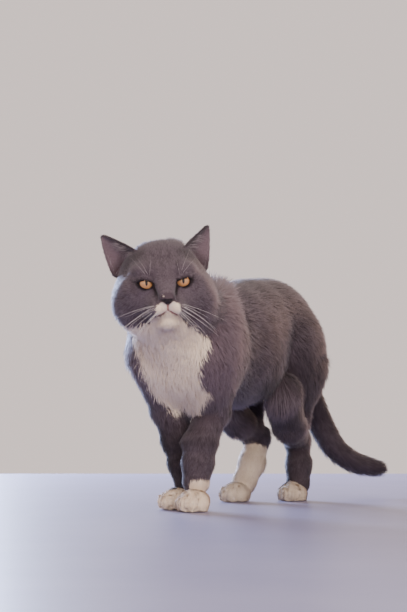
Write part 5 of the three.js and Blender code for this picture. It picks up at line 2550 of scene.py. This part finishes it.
@dataclass
class Studio:
    """The floor, the light and the camera."""

    azimuth: float = 25.0  # degrees that the camera stands round to the cat's left
    rise: float = 2.91  # degrees that it looks up
    camera_at: Triple = (957.5, -2117.5, 132.0)
    lens: float = 108.7
    floor_wide: float = 2.6  # metres, as the next two
    floor_front: float = 2.6
    floor_back: float = 1.0
    floor_cells: int = 12
    air: str = "#E8D8D3"
    air_strength: float = 1.28
    lamps: tuple[Lamp, ...] = (
        Lamp("window", (-1.12, 2.22, 0.5), 0.9, 410, "#C0D0FF"),
        Lamp("front", (0.45, -2.15, 0.36), 1.8, 54, "#FFF1E8", mirrored=False),
        Lamp("warm", (1.6, 1.9, 0.5), 0.9, 32, "#FFC8AE"),
    )

    def axes(self) -> tuple[Vector, Vector]:
        """The ways to the right and away, level with the floor, as the camera sees them."""
        angle = math.radians(self.azimuth)
        return Vector((math.cos(angle), math.sin(angle), 0)), Vector((-math.sin(angle), math.cos(angle), 0))

    def camera(self, away: Vector) -> None:
        """Sets up the camera, which looks away and a little up.

        Args:
            away: The way that it looks.
        """
        tilt = math.radians(self.rise)
        look = away * math.cos(tilt) + Vector((0, 0, math.sin(tilt)))
        camera = piece_of("camera", bpy.data.cameras.new("camera"))
        camera.data.lens = self.lens
        camera.location = to_metres(np.array([self.camera_at]))[0]
        camera.rotation_euler = look.to_track_quat("-Z", "Y").to_euler()
        bpy.context.scene.camera = camera

    def floor(self, right: Vector, away: Vector) -> None:
        """Lays the floor, whose far edge is level with the camera's view.

        Args:
            right: The way to the camera's right.
            away: The way away from the camera.
        """
        deselect_all()
        cells = self.floor_cells
        bpy.ops.mesh.primitive_grid_add(x_subdivisions=cells, y_subdivisions=cells, size=1)
        floor = bpy.context.object
        floor.name = floor.data.name = "floor"
        middle = Vector(to_metres(np.array([(0.0, 0.0, 0.0)]))[0])
        middle.z = 0
        for vertex in floor.data.vertices:
            share = vertex.co.y + 0.5
            forward = -self.floor_front + share * (self.floor_front + self.floor_back)
            vertex.co = middle + right * (vertex.co.x * self.floor_wide) + away * forward
        floor.data.materials.append(LINO.material())

    def build(self) -> None:
        """Makes the whole studio."""
        right, away = self.axes()
        self.camera(away)
        self.floor(right, away)
        world = bpy.data.worlds.new("room")
        bpy.context.scene.world = world
        world.use_nodes = True
        air = {"Color": self.air, "Strength": self.air_strength}
        set_inputs(world.node_tree, world.node_tree.nodes["Background"], air)
        for lamp in self.lamps:
            lamp.hang(right, away)


# ------------ making


def mount(piece: Object, finish: Material) -> None:
    """Fixes a piece to the cat's one body and its finish.

    Args:
        piece: The piece.
        finish: The finish's material.
    """
    piece.data.materials.clear()
    piece.data.materials.append(finish)
    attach(piece, "root")
    LOG.info("%s: %d faces", piece.name, len(piece.data.polygons))


def main() -> None:
    """Builds the cat from the skin out, and the studio round him."""
    logging.basicConfig(level=logging.INFO)
    reading = CoatMap()
    making = Skin(reading)
    skin = making.build()
    making.mark(skin)
    mount(skin, PELT.material())
    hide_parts(*(name for name in sorted(frame["nodes"]) if not name.startswith("eye_")))
    for side in SIDES:
        eye = Eye(side).build()
        mount(eye, IRIS.material())
        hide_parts(f"eye_{side}")
    furs = {"blue": BLUE_FUR.material(), "white": WHITE_FUR.material()}
    for name, piece in Coat(skin, reading).grow().items():
        shade = name.rsplit("_", 1)[1]
        mount(piece, furs[shade])
    hairs, keratin, ear_hair = Whiskers(), KERATIN.material(), EAR_HAIR.material()
    for side in SIDES:
        mount(hairs.muzzle(side), keratin)
        mount(hairs.brow(side), keratin)
        mount(hairs.ear(side), ear_hair)
    Studio().build()


if __name__ == "__main__":
    main()
